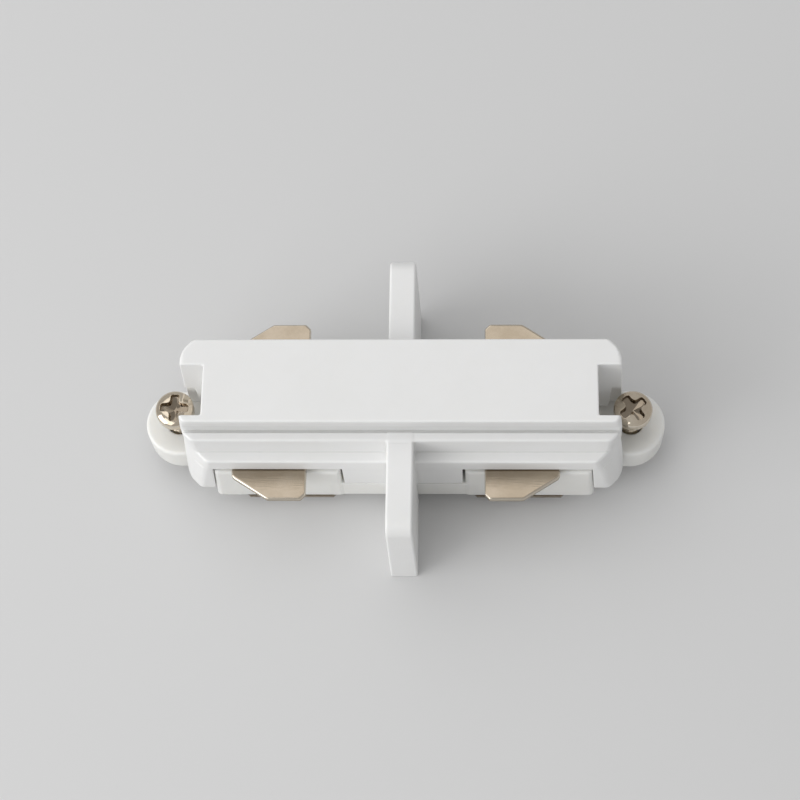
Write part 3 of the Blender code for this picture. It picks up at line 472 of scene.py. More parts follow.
@dataclass
class Housing:
    """The upper moulding: stepped shell, end posts and cross plate. Sizes in millimetres."""

    top: float = 21.7
    lip: float = 0.5
    groove: float = 0.5
    groove_slope: float = 2.6
    channel: Triple = (4.75, 5.15, 17.55)
    channel_top: float = 18.5
    half_widths: Triple = (5.2, 6.24, 7.62)
    lower_step: float = 14.34
    skirt: Triple = (7.5, 7.23, 6.35)
    post_foot: float = 4.4
    post_inner: float = 22.76
    post_draft: float = 0.07
    end: float = 25.89
    end_draft: float = 0.0555
    corner_draft: float = 0.181
    corner_levels: Triple = (14.24, 18.1, 21.7)
    front_corner: Triple = (30.85, 30.95, 30.39)
    rear_corner: Triple = (30.85, 30.49, 29.59)
    plate: Pair = (3.36, 3.12)
    plate_half: float = 17.5
    plate_sink: float = 0.1
    plate_corner: float = 1.9
    passage: Pair = (7.8, 6.45)
    notch: Triple = (-4.345, 1.945, 23.1)
    notch_floor: float = 7.5
    notch_foot: Pair = (0.1, 0.3)
    head_room: tuple[float, float, float, float] = (25.09, 2.64, 7.76, 14.2)
    slot: Triple = (4.5, 7.86, 22.5)
    cavity: Triple = (21.5, 5.4, 13.6)
    cavity_foot: float = -5.0
    roof_cavity: Triple = (21.0, 3.6, 19.9)
    web: float = 1.5
    lip_span: Triple = (5.7, 6.4, 10.8)
    lip_ends: Pair = (7.53, 22.55)
    lip_gap: float = 0.3
    boss: float = 1.8
    boss_feet: Pair = (6.35, 10.8)
    boss_roof: float = 0.9
    boss_hole: Pair = (1.3, 13.3)
    overlap: float = 1.0
    # Radii of edges and fillets.
    edge: float = 0.24
    end_corner: float = 0.8
    end_edge: float = 0.32
    brow: Pair = (0.1, 0.08)
    ledge_fillets: Pair = (0.12, 0.04)
    plate_edges: Pair = (0.25, 0.28)
    plate_fillet: float = 0.3
    hollow_edge: float = 0.2
    boss_fillet: float = 0.15
    post_edge: float = 0.45
    channel_rim: float = 0.07
    passage_rim: float = 0.08
    fine_rim: float = 0.1
    rim: float = 0.12
    slot_rim: float = 0.15
    notch_rim: float = 0.16
    # Lattice planes at the edges, where the lattice starts and stops to lean, and its least wall.
    inner_planes: tuple[float, ...] = (1.5, 1.62, 3.2, 6.8, 7.23, 7.53, 9.6, 11.2, 16.2, 19.2, 19.8)
    outer_planes: tuple[float, ...] = (20.8, 21.0, 21.5, 22.5, 22.76, 24.9, 26.0)
    low_across: tuple[float, ...] = (1.3, 1.8, 2.64, 3.6, 4.5, 4.8, 5.17, 5.4, 5.7, 6.24, 6.4)
    far_across: tuple[float, ...] = (7.55, 7.8, 16.4, 17.5)
    low_levels: tuple[float, ...] = (0.0, 4.4, 6.4, 7.86, 10.8, 11.75, 13.3, 13.6, 14.3)
    high_levels: tuple[float, ...] = (16.6, 17.4, 17.95, 18.4, 19.3, 21.2, 21.7)
    lattice: tuple[Pair, ...] = ((-27.5, 27.5), (-18.0, 18.0), (-0.5, 22.2))
    lean_span: Pair = (22.0, 26.0)
    lean_wall: float = 0.15

    def reach(self, y: Array, height: Array) -> Array:
        """Sum of the distances along and across on the cut corners, with a knee by each ledge.

        Args:
            y: Y coordinates; the rear corners are cut further than the front ones.
            height: Heights.

        Returns:
            The sum at each point.
        """
        front = np.interp(height, self.corner_levels, self.front_corner)
        rear = np.interp(height, self.corner_levels, self.rear_corner)
        below = np.maximum(self.corner_levels[0] - height, 0.0)
        return np.where(y > 0.0, rear, front) + self.corner_draft * below

    def envelope(self, along: Array, y: Array, height: Array) -> Array:
        """Field of the leaning ends and cut corners, met with a round edge.

        Args:
            along: Distances from the middle of the connector.
            y: Y coordinates.
            height: Heights.

        Returns:
            Field values of the envelope.
        """
        drop = self.top - height
        end = (along - self.end - self.end_draft * drop) / math.hypot(1.0, self.end_draft)
        corner = (along + np.abs(y) - self.reach(y, height)) / math.sqrt(2.0 + self.corner_draft**2)
        return meet(end, corner, self.end_corner)

    def steps(self, across: Array, height: Array) -> Array:
        """Field of the stepped section: three slabs joined, with the groove taken out.

        Args:
            across: Distances from the centre line.
            height: Heights.

        Returns:
            Field values of the section.
        """
        upper, middle, lower = self.half_widths
        head = meet(across - upper, height - self.top, self.edge)
        fall, inset = self.groove_slope, self.groove
        slope = inset * (height - self.top + self.lip) - fall * (across - upper)
        tool = meet(upper - inset - across, slope / math.hypot(fall, inset))
        head = carve(head, tool, self.fine_rim)
        first = meet(across - middle, height - TRACK, self.edge)
        second = meet(across - lower, height - self.lower_step, self.edge)
        lift, radius = self.brow
        second = meet(second, SHELL_EDGE - lift - height, radius)
        skirt = meet(across - self.skirt[0], height - SHELL_EDGE)
        ledge, hem = self.ledge_fillets
        return join(join(join(head, first), second, ledge), skirt, hem)

    def cross_plate(self, x: Array, across: Array, height: Array) -> Array:
        """Field of the cross plate, whose faces lean together towards the top.

        Args:
            x: X coordinates.
            across: Distances from the centre line.
            height: Heights.

        Returns:
            Field values of the plate.
        """
        foot, head = self.plate
        half = (foot + (head - foot) * height / TRACK) / 2.0
        foot_edge, face_edge = self.plate_edges
        shoulder = meet(across - self.plate_half, height - TRACK + self.plate_sink, self.plate_corner)
        plate = meet(np.abs(x) - half, meet(shoulder, -height, foot_edge), face_edge)
        width, roof = self.passage
        return carve(plate, meet(across - width, height - roof), self.passage_rim)

    def inside(self, x: Array, y: Array, height: Array) -> Array:
        """Field of the hollows that the bars and screws lie in, with bosses left standing.

        Args:
            x: X coordinates.
            y: Y coordinates.
            height: Heights.

        Returns:
            Field values of the hollows.
        """
        point = (np.abs(x), np.abs(y), height)
        length, width, roof = self.cavity
        spans = ((-length, length), (-width, width), (self.cavity_foot, roof))
        room = block(point, spans, self.hollow_edge)
        length, width, top = self.roof_cavity
        spans = ((self.web, length), (-width, width), (roof - self.overlap, top))
        room = join(room, block(point, spans, self.hollow_edge))
        bosses = [
            post(point[0] - place, y, height, self.boss, (foot, self.top - self.boss_roof))
            for place, foot in zip(ASSEMBLY_X, self.boss_feet)
        ]
        return carve(room, np.minimum(*bosses), self.boss_fillet)

    def lips(self, x: Array, across: Array, height: Array) -> Array:
        """Field of the downstands on both sides of each contact.

        Args:
            x: X coordinates.
            across: Distances from the centre line.
            height: Heights.

        Returns:
            Field values of the four pairs of lips.
        """
        near, far, low = self.lip_span
        start = np.where(x > 0.0, CONTACT_INNER[Side.RIGHT], CONTACT_INNER[Side.LEFT])
        before = between(np.abs(x), self.lip_ends[0], start - self.lip_gap)
        after = between(np.abs(x), start + (CONTACT_WIDTH + self.lip_gap), self.lip_ends[1])
        height_span = between(height, low, SHELL_EDGE + self.overlap)
        wall = meet(between(across, near, far), height_span, self.fine_rim)
        return meet(np.minimum(before, after), wall, self.fine_rim)

    def openings(self, along: Array, y: Array, z: Array) -> list[tuple[Array, float]]:
        """Cuts that are made at the ends, from the slots for the tongues up.

        Args:
            along: Distances from the middle of the connector.
            y: Y coordinates.
            z: Heights.

        Returns:
            The field and the rim's radius of each cut.
        """
        width, height, start = self.slot
        slot = meet(start - along, meet(np.abs(y) - width, z - height))
        low, high, start = self.notch
        notch = meet(meet(start - along, between(y, low, high)), self.notch_floor - z)
        inset, rise = self.notch_foot
        foot = meet(self.post_inner - inset - along, between(y, low, high))
        foot = meet(foot, between(z, self.notch_floor, SHELL_EDGE + rise))
        start, far, low, high = self.head_room
        room = meet(start - along, meet(between(y, 0.0, far), between(z, low, high)))
        return [(slot, self.slot_rim), (notch, self.notch_rim), (foot, self.fine_rim), (room, self.rim)]

    def field(self, x: Array, y: Array, z: Array) -> Array:
        """Field of the whole moulding.

        Args:
            x: X coordinates.
            y: Y coordinates.
            z: Heights.

        Returns:
            Field values, below zero in the plastic.
        """
        along, across = np.abs(x), np.abs(y)
        solid = meet(self.steps(across, z), self.envelope(along, y, z), self.end_edge)
        inner = self.post_inner + self.post_draft * (SHELL_EDGE - z)
        window = meet(between(along, self.skirt[1], inner), z - SHELL_EDGE)
        solid = carve(solid, window, self.rim)
        solid = carve(solid, meet(along - self.skirt[1] - self.overlap, z - self.skirt[2]), self.rim)
        solid = meet(solid, self.post_foot - z, self.post_edge)
        solid = join(solid, self.cross_plate(x, across, z), self.plate_fillet)
        near, far, floor = self.channel
        channel = meet(between(across, near, far), between(z, floor, self.channel_top))
        solid = carve(solid, channel, self.channel_rim)
        solid = carve(solid, self.inside(x, y, z), self.fine_rim)
        for tool, radius in self.openings(along, y, z):
            solid = carve(solid, tool, radius)
        solid = np.minimum(solid, self.lips(x, across, z))
        radius, top = self.boss_hole
        return carve(solid, meet(from_screws(along, y) - radius, z - top), self.fine_rim)

    def lean(self, x: Array, y: Array, z: Array) -> Array:
        """Move the outer lattice planes so that they follow the leaning posts.

        The plane on a post's inner face moves out by the draft, and the planes past it are scaled
        between that face and the reach of the end, which is the smaller of the end's and the cut
        corner's.

        Args:
            x: X of the lattice points.
            y: Y of the lattice points.
            z: Heights of the lattice points.

        Returns:
            The new X.
        """
        face = self.post_inner
        first, last = self.lean_span
        along, drop = np.abs(x), self.top - z
        inner = face + self.post_draft * np.maximum(SHELL_EDGE - z, 0.0)
        reach = np.minimum(self.end + self.end_draft * drop, self.reach(y, z) - np.abs(y))
        reach = np.maximum(reach, inner + self.lean_wall)
        near = first + (along - first) * (inner - first) / (face - first)
        far = inner + (along - face) * (reach - inner) / (last - face)
        moved = np.where(along < first, along, np.where(along < face, near, far))
        return np.sign(x) * moved

    def build(self) -> None:
        """Make the moulding on a lattice whose planes gather at its edges."""
        edges = (
            both_ways(self.inner_planes + self.outer_planes),
            both_ways(self.low_across + self.far_across) + self.notch[:2],
            self.low_levels + self.high_levels,
        )
        planes = [Planes(axis, *span) for axis, span in zip(edges, self.lattice)]
        skin = skin_of(self.field, planes, self.lean)
        make_piece("housing_moulding", skin, HOUSING_PLASTIC, Body.MAIN, "housing")


@dataclass
class Carrier:
    """The lower moulding: base, two contact blocks and two screw tongues. Sizes in millimetres."""

    foot: float = 2.0
    base: tuple[float, float, float, float] = (9.0, 7.5, 2.15, 6.05)
    block_span: Pair = (7.53, 22.7)
    block_draft: float = 0.07
    block_half: float = 7.6
    block_top: float = 10.5
    core: Triple = (2.0, 5.0, 4.2)
    core_top: float = 15.0
    core_wall: float = 1.8
    tongue: Triple = (4.2, 2.96, 7.56)
    tongue_root: float = 21.9
    screw_hole: float = 1.55
    pocket_flats: float = 5.6
    pocket_top: float = 5.56
    assembly_hole: float = 1.3
    # Radii of edges and fillets.
    block_corner: float = 0.6
    block_edge: float = 0.3
    base_edge: float = 0.12
    base_fillet: float = 0.2
    core_edges: Pair = (0.2, 0.15)
    tongue_edge: float = 0.4
    tongue_fillet: float = 0.25
    hole_rims: Triple = (0.15, 0.12, 0.1)
    # Lattice planes at the edges, and where the lattice starts and stops to lean.
    block_planes: tuple[float, ...] = (3.7, 6.3, 7.53, 9.33, 16.7, 19.3, 20.9, 22.7)
    tongue_planes: tuple[float, ...] = (24.9, 26.2, 27.0, 27.73, 28.5, 29.3, 30.6, 31.3, 31.9)
    across_planes: tuple[float, ...] = (0.5, 1.3, 2.0, 2.8, 3.6, 4.2, 5.0, 7.2, 7.55)
    levels: tuple[float, ...] = (2.0, 2.2, 2.96, 4.2, 5.56, 6.05, 7.56, 10.5)
    lattice: tuple[Pair, ...] = ((-32.3, 32.3), (-8.0, 8.0), (1.6, 10.9))
    widest: Triple = (0.8, 0.8, 1.2)
    lean_span: Pair = (21.3, 24.6)

    def tongues(self, along: Array, y: Array, z: Array) -> Array:
        """Field of the round-ended tongues with their screw holes and nut pockets.

        Args:
            along: Distances from the middle of the connector.
            y: Y coordinates.
            z: Heights.

        Returns:
            Field values of the tongues.
        """
        radius, low, high = self.tongue
        plan = np.hypot(np.maximum(along - CLAMP_X, 0.0), y) - radius
        solid = meet(meet(plan, self.tongue_root - along), between(z, low, high), self.tongue_edge)
        solid = carve(solid, np.hypot(along - CLAMP_X, y) - self.screw_hole, self.hole_rims[0])
        turned = np.radians([0.0, 60.0, 120.0])
        flats = [np.abs((along - CLAMP_X) * math.cos(a) + y * math.sin(a)) for a in turned]
        hexagon = np.maximum.reduce(flats) - self.pocket_flats / 2.0
        return carve(solid, meet(hexagon, z - self.pocket_top), self.hole_rims[1])

    def field(self, x: Array, y: Array, z: Array) -> Array:
        """Field of the whole moulding.

        Args:
            x: X coordinates.
            y: Y coordinates.
            z: Heights.

        Returns:
            Field values, below zero in the plastic.
        """
        along, across = np.abs(x), np.abs(y)
        length, half, low, high = self.base
        base = block((x, across, z), ((-length, length), (-half, half), (low, high)), self.base_edge)
        start, end = self.block_span
        outer = end + self.block_draft * (SHELL_EDGE - z)
        sides = meet(between(along, start, outer), across - self.block_half, self.block_corner)
        solid = meet(sides, between(z, self.foot, self.block_top), self.block_edge)
        near, far, floor = self.core
        spans = ((start + self.core_wall, end - self.core_wall), (near, far), (floor, self.core_top))
        solid = carve(solid, block((along, across, z), spans, self.core_edges[0]), self.core_edges[1])
        solid = join(solid, base, self.base_fillet)
        solid = join(solid, self.tongues(along, y, z), self.tongue_fillet)
        return carve(solid, from_screws(along, y) - self.assembly_hole, self.hole_rims[2])

    def lean(self, x: Array, y: Array, z: Array) -> Array:
        """Move the lattice planes about a block's outer face so that they follow its draft.

        Args:
            x: X of the lattice points.
            y: Y of the lattice points; not used.
            z: Heights of the lattice points.

        Returns:
            The new X.
        """
        first, last = self.lean_span
        face = self.block_span[1]
        along = np.abs(x)
        shift = self.block_draft * (SHELL_EDGE - z)
        share = np.minimum((along - first) / (face - first), (last - along) / (last - face))
        return np.sign(x) * (along + shift * np.clip(share, 0.0, 1.0))

    def build(self) -> None:
        """Make the moulding on a lattice whose planes gather at its edges."""
        along = both_ways(self.block_planes + self.tongue_planes)
        edges = (along, both_ways(self.across_planes), self.levels)
        parts = zip(edges, self.lattice, self.widest)
        planes = [Planes(axis, *span, widest=widest) for axis, span, widest in parts]
        skin = skin_of(self.field, planes, self.lean)
        make_piece("carrier_moulding", skin, CARRIER_PLASTIC, Body.MAIN, "contact_carrier")


@dataclass
class Contact:
    """A flat stamped spring contact that reaches out of the side. Sizes in millimetres.

    Each row of the edge section is an inset as a share of the roll, a height and the strength of the painted
    highlight there.
    """

    side: Side
    row: Row
    low: float = 10.8
    thick: float = 0.7
    tip_width: float = 4.6
    root: float = 2.2
    slant: float = 8.5
    tip: float = 11.35
    chamfer: float = 0.6
    corner_radii: tuple[float, ...] = (0.3, 0.3, 0.8, 0.8, 0.35, 0.35)
    columns: int = 360
    hole: float = 1.0
    roll: float = 0.3
    edge_section: tuple[Triple, ...] = (
        (0.15, 0.0, 0.0),
        (0.03, 0.02, 0.0),
        (0.0, 0.06, 0.0),
        (0.0, 0.46, 0.5),
        (0.13, 0.58, 1.0),
        (0.4, 0.66, 1.0),
        (0.7, 0.69, 0.6),
        (1.0, 0.7, 0.0),
        (1.2, 0.7, 0.0),
    )
    bend: float = 5.0
    rise: float = 0.032

    def outline(self) -> Array:
        """Plan of the contact, with its corners rounded and its points evenly spaced.

        Returns:
            Points as rows of two.
        """
        inner = CONTACT_INNER[self.side]
        outer = inner + CONTACT_WIDTH
        corners = [(inner, self.root), (outer, self.root), (outer, self.slant)]
        corners += [(inner + self.tip_width, self.tip), (inner + self.chamfer, self.tip)]
        corners += [(inner, self.tip - self.chamfer)]
        rounded = rounded_polygon(np.array(corners), np.array(self.corner_radii))
        return even_outline(rounded, self.columns)

    def build(self) -> None:
        """Carry a rolled-edge section round the plate, between its outline and its rivet hole.

        The outer points lie on the outline, drawn in by the roll; the inner ones lie on the hole,
        in the direction of their outer point. Past the bend the plate rises a little.
        """
        outer = self.outline()
        centre = np.array([CONTACT_INNER[self.side] + CONTACT_WIDTH / 2.0, RIVET_Y])
        ray = outer - centre
        length = np.linalg.norm(ray, axis=1)[:, None]
        ray = ray / length
        rings = [(length - self.roll * inset, height) for inset, height, _ in self.edge_section]
        inward = [(share, self.thick) for share in (0.66, 0.33, 0.0)]
        for share, height in inward + [(share, 0.0) for share in (0.0, 0.33, 0.66)]:
            rings.append((self.hole + (length - self.hole) * share, height))
        level = np.ones((len(outer), 1))
        points = np.array([np.hstack([centre + ray * reach, height * level]) for reach, height in rings])
        points[..., 2] += self.low + self.rise * np.maximum(points[..., 1] - self.bend, 0.0)
        points *= (self.side.value, self.row.value, 1.0)
        if self.side.value * self.row.value < 0.0:
            points = points[:, ::-1]
        skin = ring_skin(points)
        # Painted highlight along the rolled rim, from the third column of the edge section.
        wear_and_highlight = np.zeros((len(rings), len(outer)))
        wear_and_highlight[: len(self.edge_section)] = np.array(self.edge_section)[:, 2:]
        skin.edge = wear_and_highlight.ravel()
        label = f"{self.row.label}_{self.side.label}"
        make_piece(f"spring_contact_{label}", skin, CONTACT_METAL, Body.MAIN, f"contact_{label}")


@dataclass
class Screw:
    """A cross-headed screw, drawn from its seat: the head rises, the shank runs down. Millimetres."""

    name: str
    node: str
    body: Body
    x: float
    seat: float
    up: float
    length: float
    shank: float
    pitch: float
    depth: float
    neck: float
    tip_length: float
    tip_radius: float
    head: float
    rim: float
    dome: float
    recess_span: float
    recess_width: float
    recess_depth: float
    turn: float
    columns: int = 160
    pitch_rows: int = 12
    ridge: Triple = (1.15, 2.3, 0.9)
    recess_corners: Pair = (0.6, 0.8)
    recess_wall: float = 0.14
    recess_rise: Pair = (0.62, 1.3)
    roll: float = 0.12
    crown_rows: int = 84
    crown_pole: float = 0.0004
    tip_face: Pair = (0.5, 0.04)
    # Share of the recess depth where its painted shade is full, and width and strength of the painted
    # highlight round the rim.
    darkest: float = 0.3
    flatness: float = 0.93
    rim_highlight: Pair = (0.1, 0.5)

    def thread(self, angle: Array) -> tuple[Array, Array]:
        """Radius and height of the threaded shank.

        The radius is the root plus the depth times a ridge, which repeats once a pitch and climbs
        one pitch a turn; the ridge fades in over one pitch at both ends.

        Args:
            angle: Angle of each column.

        Returns:
            Radii and heights, rows by columns.
        """
        low, high = -self.length + self.tip_length, -self.neck
        height = np.linspace(low, high, int((high - low) / self.pitch * self.pitch_rows))[:, None]
        phase = (height - low) / self.pitch - angle[None, :] / TURN
        tall, steep, power = self.ridge
        ridge = np.clip(tall - steep * np.abs(phase % 1.0 - 0.5), 0.0, 1.0) ** power
        below, above = ((part / self.pitch).clip(0.0, 1.0) for part in (height - low, high - height))
        radius = self.shank - self.depth + self.depth * ridge * (below * above)
        return radius, np.broadcast_to(height, radius.shape)

    def recess(self, x: Array, y: Array) -> Array:
        """Depth of the cross recess below the crown.

        Two crossed bars with rounded inner corners make the cross. Its walls slope down over a
        short width, and its floor rises from the centre to the ends of the arms.

        Args:
            x: X from the screw's axis.
            y: Y from the screw's axis.

        Returns:
            Depth at each point.
        """
        across, along = self.recess_width / 2.0, self.recess_span / 2.0
        outer, inner = (across * share for share in self.recess_corners)
        first = meet(np.abs(x) - across, np.abs(y) - along, outer)
        second = meet(np.abs(y) - across, np.abs(x) - along, outer)
        share = np.clip(-join(first, second, inner) / self.recess_wall, 0.0, 1.0)
        rise, power = self.recess_rise
        away = np.clip(np.hypot(x, y) / along, 0.0, 1.0)
        floor = self.recess_depth * (1.0 - rise * away**power)
        return floor * share * share * (3.0 - 2.0 * share)

    def crown(self, angle: Array) -> tuple[Array, Array, Array]:
        """Radius, height and painted light of the head, from its seat over the rim to its crown.

        The rim is upright with a small roll; above it the height follows a flattened circle, less
        the depth of the recess.

        Args:
            angle: Angle of each column.

        Returns:
            Radii, heights and the value of the edge attribute, which is painted highlight on the rim and
            painted shade in the recess, rows by columns.
        """
        roll = min(self.roll, self.rim / 3.0)
        edge = arc((self.head - roll, roll), roll, -90.0, 0.0, 4)
        reach = self.head * np.sqrt(np.linspace(1.0, self.crown_pole, self.crown_rows))
        share = np.sqrt(np.clip(1.0 - (reach / self.head) ** 2, 0.0, 1.0))
        shell = np.minimum(share, self.flatness + (1.0 - self.flatness) * share)
        rise = self.rim + self.dome * shell / shell.max()
        radius = np.concatenate([[self.head - roll * 3.0], edge[:, 0], [self.head], reach])
        height = np.concatenate([[0.0], edge[:, 1], [self.rim - self.roll / 2.0], rise])
        radius = np.broadcast_to(radius[:, None], (len(radius), len(angle)))
        turned = angle[None, :] - math.radians(self.turn)
        over = (np.arange(len(height)) >= len(height) - len(reach))[:, None]
        depth = self.recess(radius * np.cos(turned), radius * np.sin(turned)) * over
        # Painted highlight in a band round the rim, and painted shade in the cross recess that is full at a
        # share of its depth.
        width, highlight_strength = self.rim_highlight
        wear_and_highlight = highlight_strength * (np.abs(radius - self.head) < width) * over
        recess_shade = np.clip(depth / (self.darkest * self.recess_depth), 0.0, 1.0)
        return radius, height[:, None] - depth, np.where(depth > 0.0, -recess_shade, wear_and_highlight)

    def build(self, finish: "Finish") -> None:
        """Stack tip, thread, neck and head into one turned skin.

        Args:
            finish: The finish of the screw.
        """
        angle = np.linspace(0.0, TURN, self.columns, endpoint=False)
        ones = np.ones((1, self.columns))
        root = self.shank - self.depth
        share, rise = self.tip_face
        tip = [(self.tip_radius * share, -self.length), (self.tip_radius, -self.length + rise)]
        neck = [(root, -self.neck), (root, -self.roll), (root + self.roll, 0.0)]
        tip, neck = (np.array(rows).T[..., None] * ones for rows in (tip, neck))
        *head, head_tone = self.crown(angle)
        radius, height = (np.vstack(parts) for parts in zip(tip, self.thread(angle), neck, head))
        places = (self.x + radius * np.cos(angle), radius * np.sin(angle), self.seat + self.up * height)
        points = np.stack(places, axis=-1)
        if self.up < 0.0:
            points = points[:, ::-1]
        skin = capped_skin(points)
        tone = np.zeros(height.shape)
        tone[-len(head_tone):] = head_tone
        # The crown's pole lies in the recess and takes the full painted shade.
        skin.edge = np.append(tone, [0.0, -1.0])
        make_piece(self.name, skin, finish, self.body, self.node)


@dataclass
class Nut:
    """A hexagonal nut with its corners chamfered, in a pocket of the tongue. Millimetres.

    Each row of the corner section is a reach as a share of half the width, and a height.
    """

    side: Side
    flats: float = 5.0
    low: float = 3.26
    thick: float = 2.0
    hole: float = 1.35
    countersink: float = 0.25
    corner_section: tuple[Pair, ...] = ((0.97, 0.0), (1.04, 0.09), (1.16, 0.3))
    columns: int = 144

    def build(self) -> None:
        """Carry the nut's section round its axis.

        The outer radius is half the width over the cosine of the angle from the nearest flat's
        middle, but no more than a cone that starts inside the corners at each face.
        """
        angle = np.linspace(0.0, TURN, self.columns, endpoint=False)
        sector = (angle + TURN / 12.0) % (TURN / 6.0) - TURN / 12.0
        half = self.flats / 2.0
        hexagon = half / np.cos(sector)
        wide = self.hole + self.countersink
        below = [(wide, 0.0)] + [(half * share, height) for share, height in self.corner_section]
        above = [(reach, self.thick - height) for reach, height in below[::-1]]
        bore = [(self.hole, self.thick - self.countersink), (self.hole, self.countersink)]
        rows = []
        for reach, height in below + above + bore:
            radius = np.minimum(hexagon, reach)
            x = self.side.value * CLAMP_X + radius * np.cos(angle)
            rows.append(np.stack([x, radius * np.sin(angle), np.full_like(angle, self.low + height)], axis=1))
        skin = ring_skin(np.array(rows))
        label = self.side.label
        make_piece(f"hex_nut_{label}", skin, ZINC_PLATE, Body.MAIN, f"clamp_nut_{label}")


@dataclass
class Rivet:
    """A solid rivet with two low domed heads. Millimetres."""

    side: Side
    row: Row
    shank: float = 0.7
    head: float = 1.2
    dome: float = 0.5
    foot: float = 10.5
    top: float = 12.8
    steepest: float = 88.0
    dome_rows: int = 9
    columns: int = 48

    def build(self) -> None:
        """Turn the rivet's profile about its axis: a quarter ellipse, the shank, a quarter ellipse."""
        sweep = np.radians(np.linspace(self.steepest, 0.0, self.dome_rows))
        reach, rise = self.head * np.cos(sweep), self.dome * np.sin(sweep)
        shank = np.array([(self.shank, self.foot), (self.shank, self.top)])
        low = np.stack([reach, self.foot - rise], axis=1)
        high = np.stack([reach, self.top + rise], axis=1)[::-1]
        profile = np.concatenate([low, shank, high])
        angle = np.linspace(0.0, TURN, self.columns, endpoint=False)
        middle = CONTACT_INNER[self.side] + CONTACT_WIDTH / 2.0
        x = self.side.value * middle + profile[:, :1] * np.cos(angle)
        y = self.row.value * RIVET_Y + profile[:, :1] * np.sin(angle)
        skin = capped_skin(np.stack([x, y, np.broadcast_to(profile[:, 1:], x.shape)], axis=-1))
        label = f"{self.row.label}_{self.side.label}"
        make_piece(f"domed_rivet_{label}", skin, BUS_BRASS, Body.MAIN, f"rivet_{label}")


def clamp_screw(side: Side) -> Screw:
    """The screw that locks one end in its track.

    Args:
        side: The end.

    Returns:
        The screw.
    """
    return Screw(
        name=f"driven_screw_{side.label}",
        node=f"clamp_screw_{side.label}",
        body=Body.LEFT_CLAMP if side is Side.LEFT else Body.RIGHT_CLAMP,
        x=side.value * CLAMP_X,
        seat=11.0,
        up=1.0,
        length=9.1,
        shank=1.25,
        pitch=0.45,
        depth=0.23,
        neck=0.5,
        tip_length=0.6,
        tip_radius=0.55,
        head=2.34,
        rim=1.0,
        dome=0.86,
        recess_span=3.5,
        recess_width=1.1,
        recess_depth=1.25,
        turn=-2.0 if side is Side.LEFT else 36.0,
    )


def assembly_screw(number: int, x: float) -> Screw:
    """One of the small screws driven from below.

    Args:
        number: Its number, from the left.
        x: Its place along the connector.

    Returns:
        The screw.
    """
    return Screw(
        name=f"small_screw_{number}",
        node=f"assembly_screw_{number}",
        body=Body.MAIN,
        x=x,
        seat=0.9,
        up=-1.0,
        length=12.1,
        shank=1.0,
        pitch=0.8,
        depth=0.25,
        neck=0.8,
        tip_length=1.2,
        tip_radius=0.2,
        head=1.9,
        rim=0.3,
        dome=0.3,
        recess_span=1.9,
        recess_width=0.55,
        recess_depth=0.45,
        turn=17.0 + 31.0 * number,
    )


# Finishes


class Wire:
    """Adds nodes to a node tree and links them, from left to right."""

    spacing: float = 180.0

    def __init__(self, tree: bpy.types.NodeTree) -> None:
        """Start at the left of the tree."""
        self.tree = tree
        self.column = 0

    def feed(self, node: Node, inputs: dict) -> None:
        """Set or link a node's inputs.

        Args:
            node: The node.
            inputs: Value or source socket of each input, by name or number.
        """
        for key, value in inputs.items():
            if isinstance(value, Socket):
                self.tree.links.new(value, node.inputs[key])
            else:
                node.inputs[key].default_value = value

    def add(self, kind: str, inputs: dict | None = None, **settings: object) -> Node:
        """Add a node, set its options, and set or link its inputs.

        Args:
            kind: Type of the node.
            inputs: Value or source socket of each input, by name or number.
            settings: Options of the node.

        Returns:
            The new node.
        """
        node = self.tree.nodes.new(kind)
        node.location = (self.column * self.spacing, 0.0)
        self.column += 1
        for option, value in settings.items():
            setattr(node, option, value)
        self.feed(node, inputs or {})
        return node

    def place(self) -> Socket:
        """The object's own coordinates."""
        return self.add("ShaderNodeTexCoord").outputs["Object"]

    def noise(self, place: Socket, scale: object, detail: float, rough: float = 0.5) -> Socket:
        """A noise value, about 0.2 to 0.8, with a number of finer layers and their strength."""
        inputs = {"Vector": place, "Scale": scale, "Detail": detail, "Roughness": rough}
        return self.add("ShaderNodeTexNoise", inputs).outputs["Fac"]

    def blend(self, share: object, first: object, second: object) -> Socket:
        """Two colours mixed by the share of the second; the node's sockets 6 and 7 are colours."""
        node = self.add("ShaderNodeMix", {0: share, 6: first, 7: second}, data_type="RGBA")
        return node.outputs[2]

    def spread(self, value: object, low: float, high: float, start: float = 0.0, end: float = 1.0) -> Socket:
        """A value stretched from one range to another and held there."""
        inputs = {"Value": value, "From Min": low, "From Max": high, "To Min": start, "To Max": end}
        return self.add("ShaderNodeMapRange", inputs).outputs["Result"]

    def sum(self, kind: str, first: object, second: object) -> Socket:
        """The result of one sum, by Blender's name of the operation."""
        return self.add("ShaderNodeMath", {0: first, 1: second}, operation=kind).outputs[0]

    def group(self, tree: bpy.types.NodeTree, inputs: dict) -> Node:
        """A shared group placed among the nodes."""
        return self.add("ShaderNodeGroup", inputs, node_tree=tree)


FLOAT, COLOUR, VECTOR = "NodeSocketFloat", "NodeSocketColor", "NodeSocketVector"
WHITE = (1.0, 1.0, 1.0, 1.0)


def new_group(name: str, inputs: dict[str, object], outputs: dict[str, str]) -> tuple[Wire, dict, Node]:
    """Start a shader node group with named sockets.

    Args:
        name: Name of the group.
        inputs: Value of each input; its length tells a number, a vector and a colour apart.
        outputs: Socket type of each output.

    Returns:
        The group's wire, its input sockets and its output node.
    """
    tree = bpy.data.node_groups.new(name, "ShaderNodeTree")
    for label, value in inputs.items():
        kind = {0: FLOAT, 3: VECTOR, 4: COLOUR}[np.size(value) * np.ndim(value)]
        tree.interface.new_socket(label, in_out="INPUT", socket_type=kind).default_value = value
    for label, kind in outputs.items():
        tree.interface.new_socket(label, in_out="OUTPUT", socket_type=kind)
    wire = Wire(tree)
    source = wire.add("NodeGroupInput")
    return wire, {label: source.outputs[label] for label in inputs}, tree.nodes.new("NodeGroupOutput")


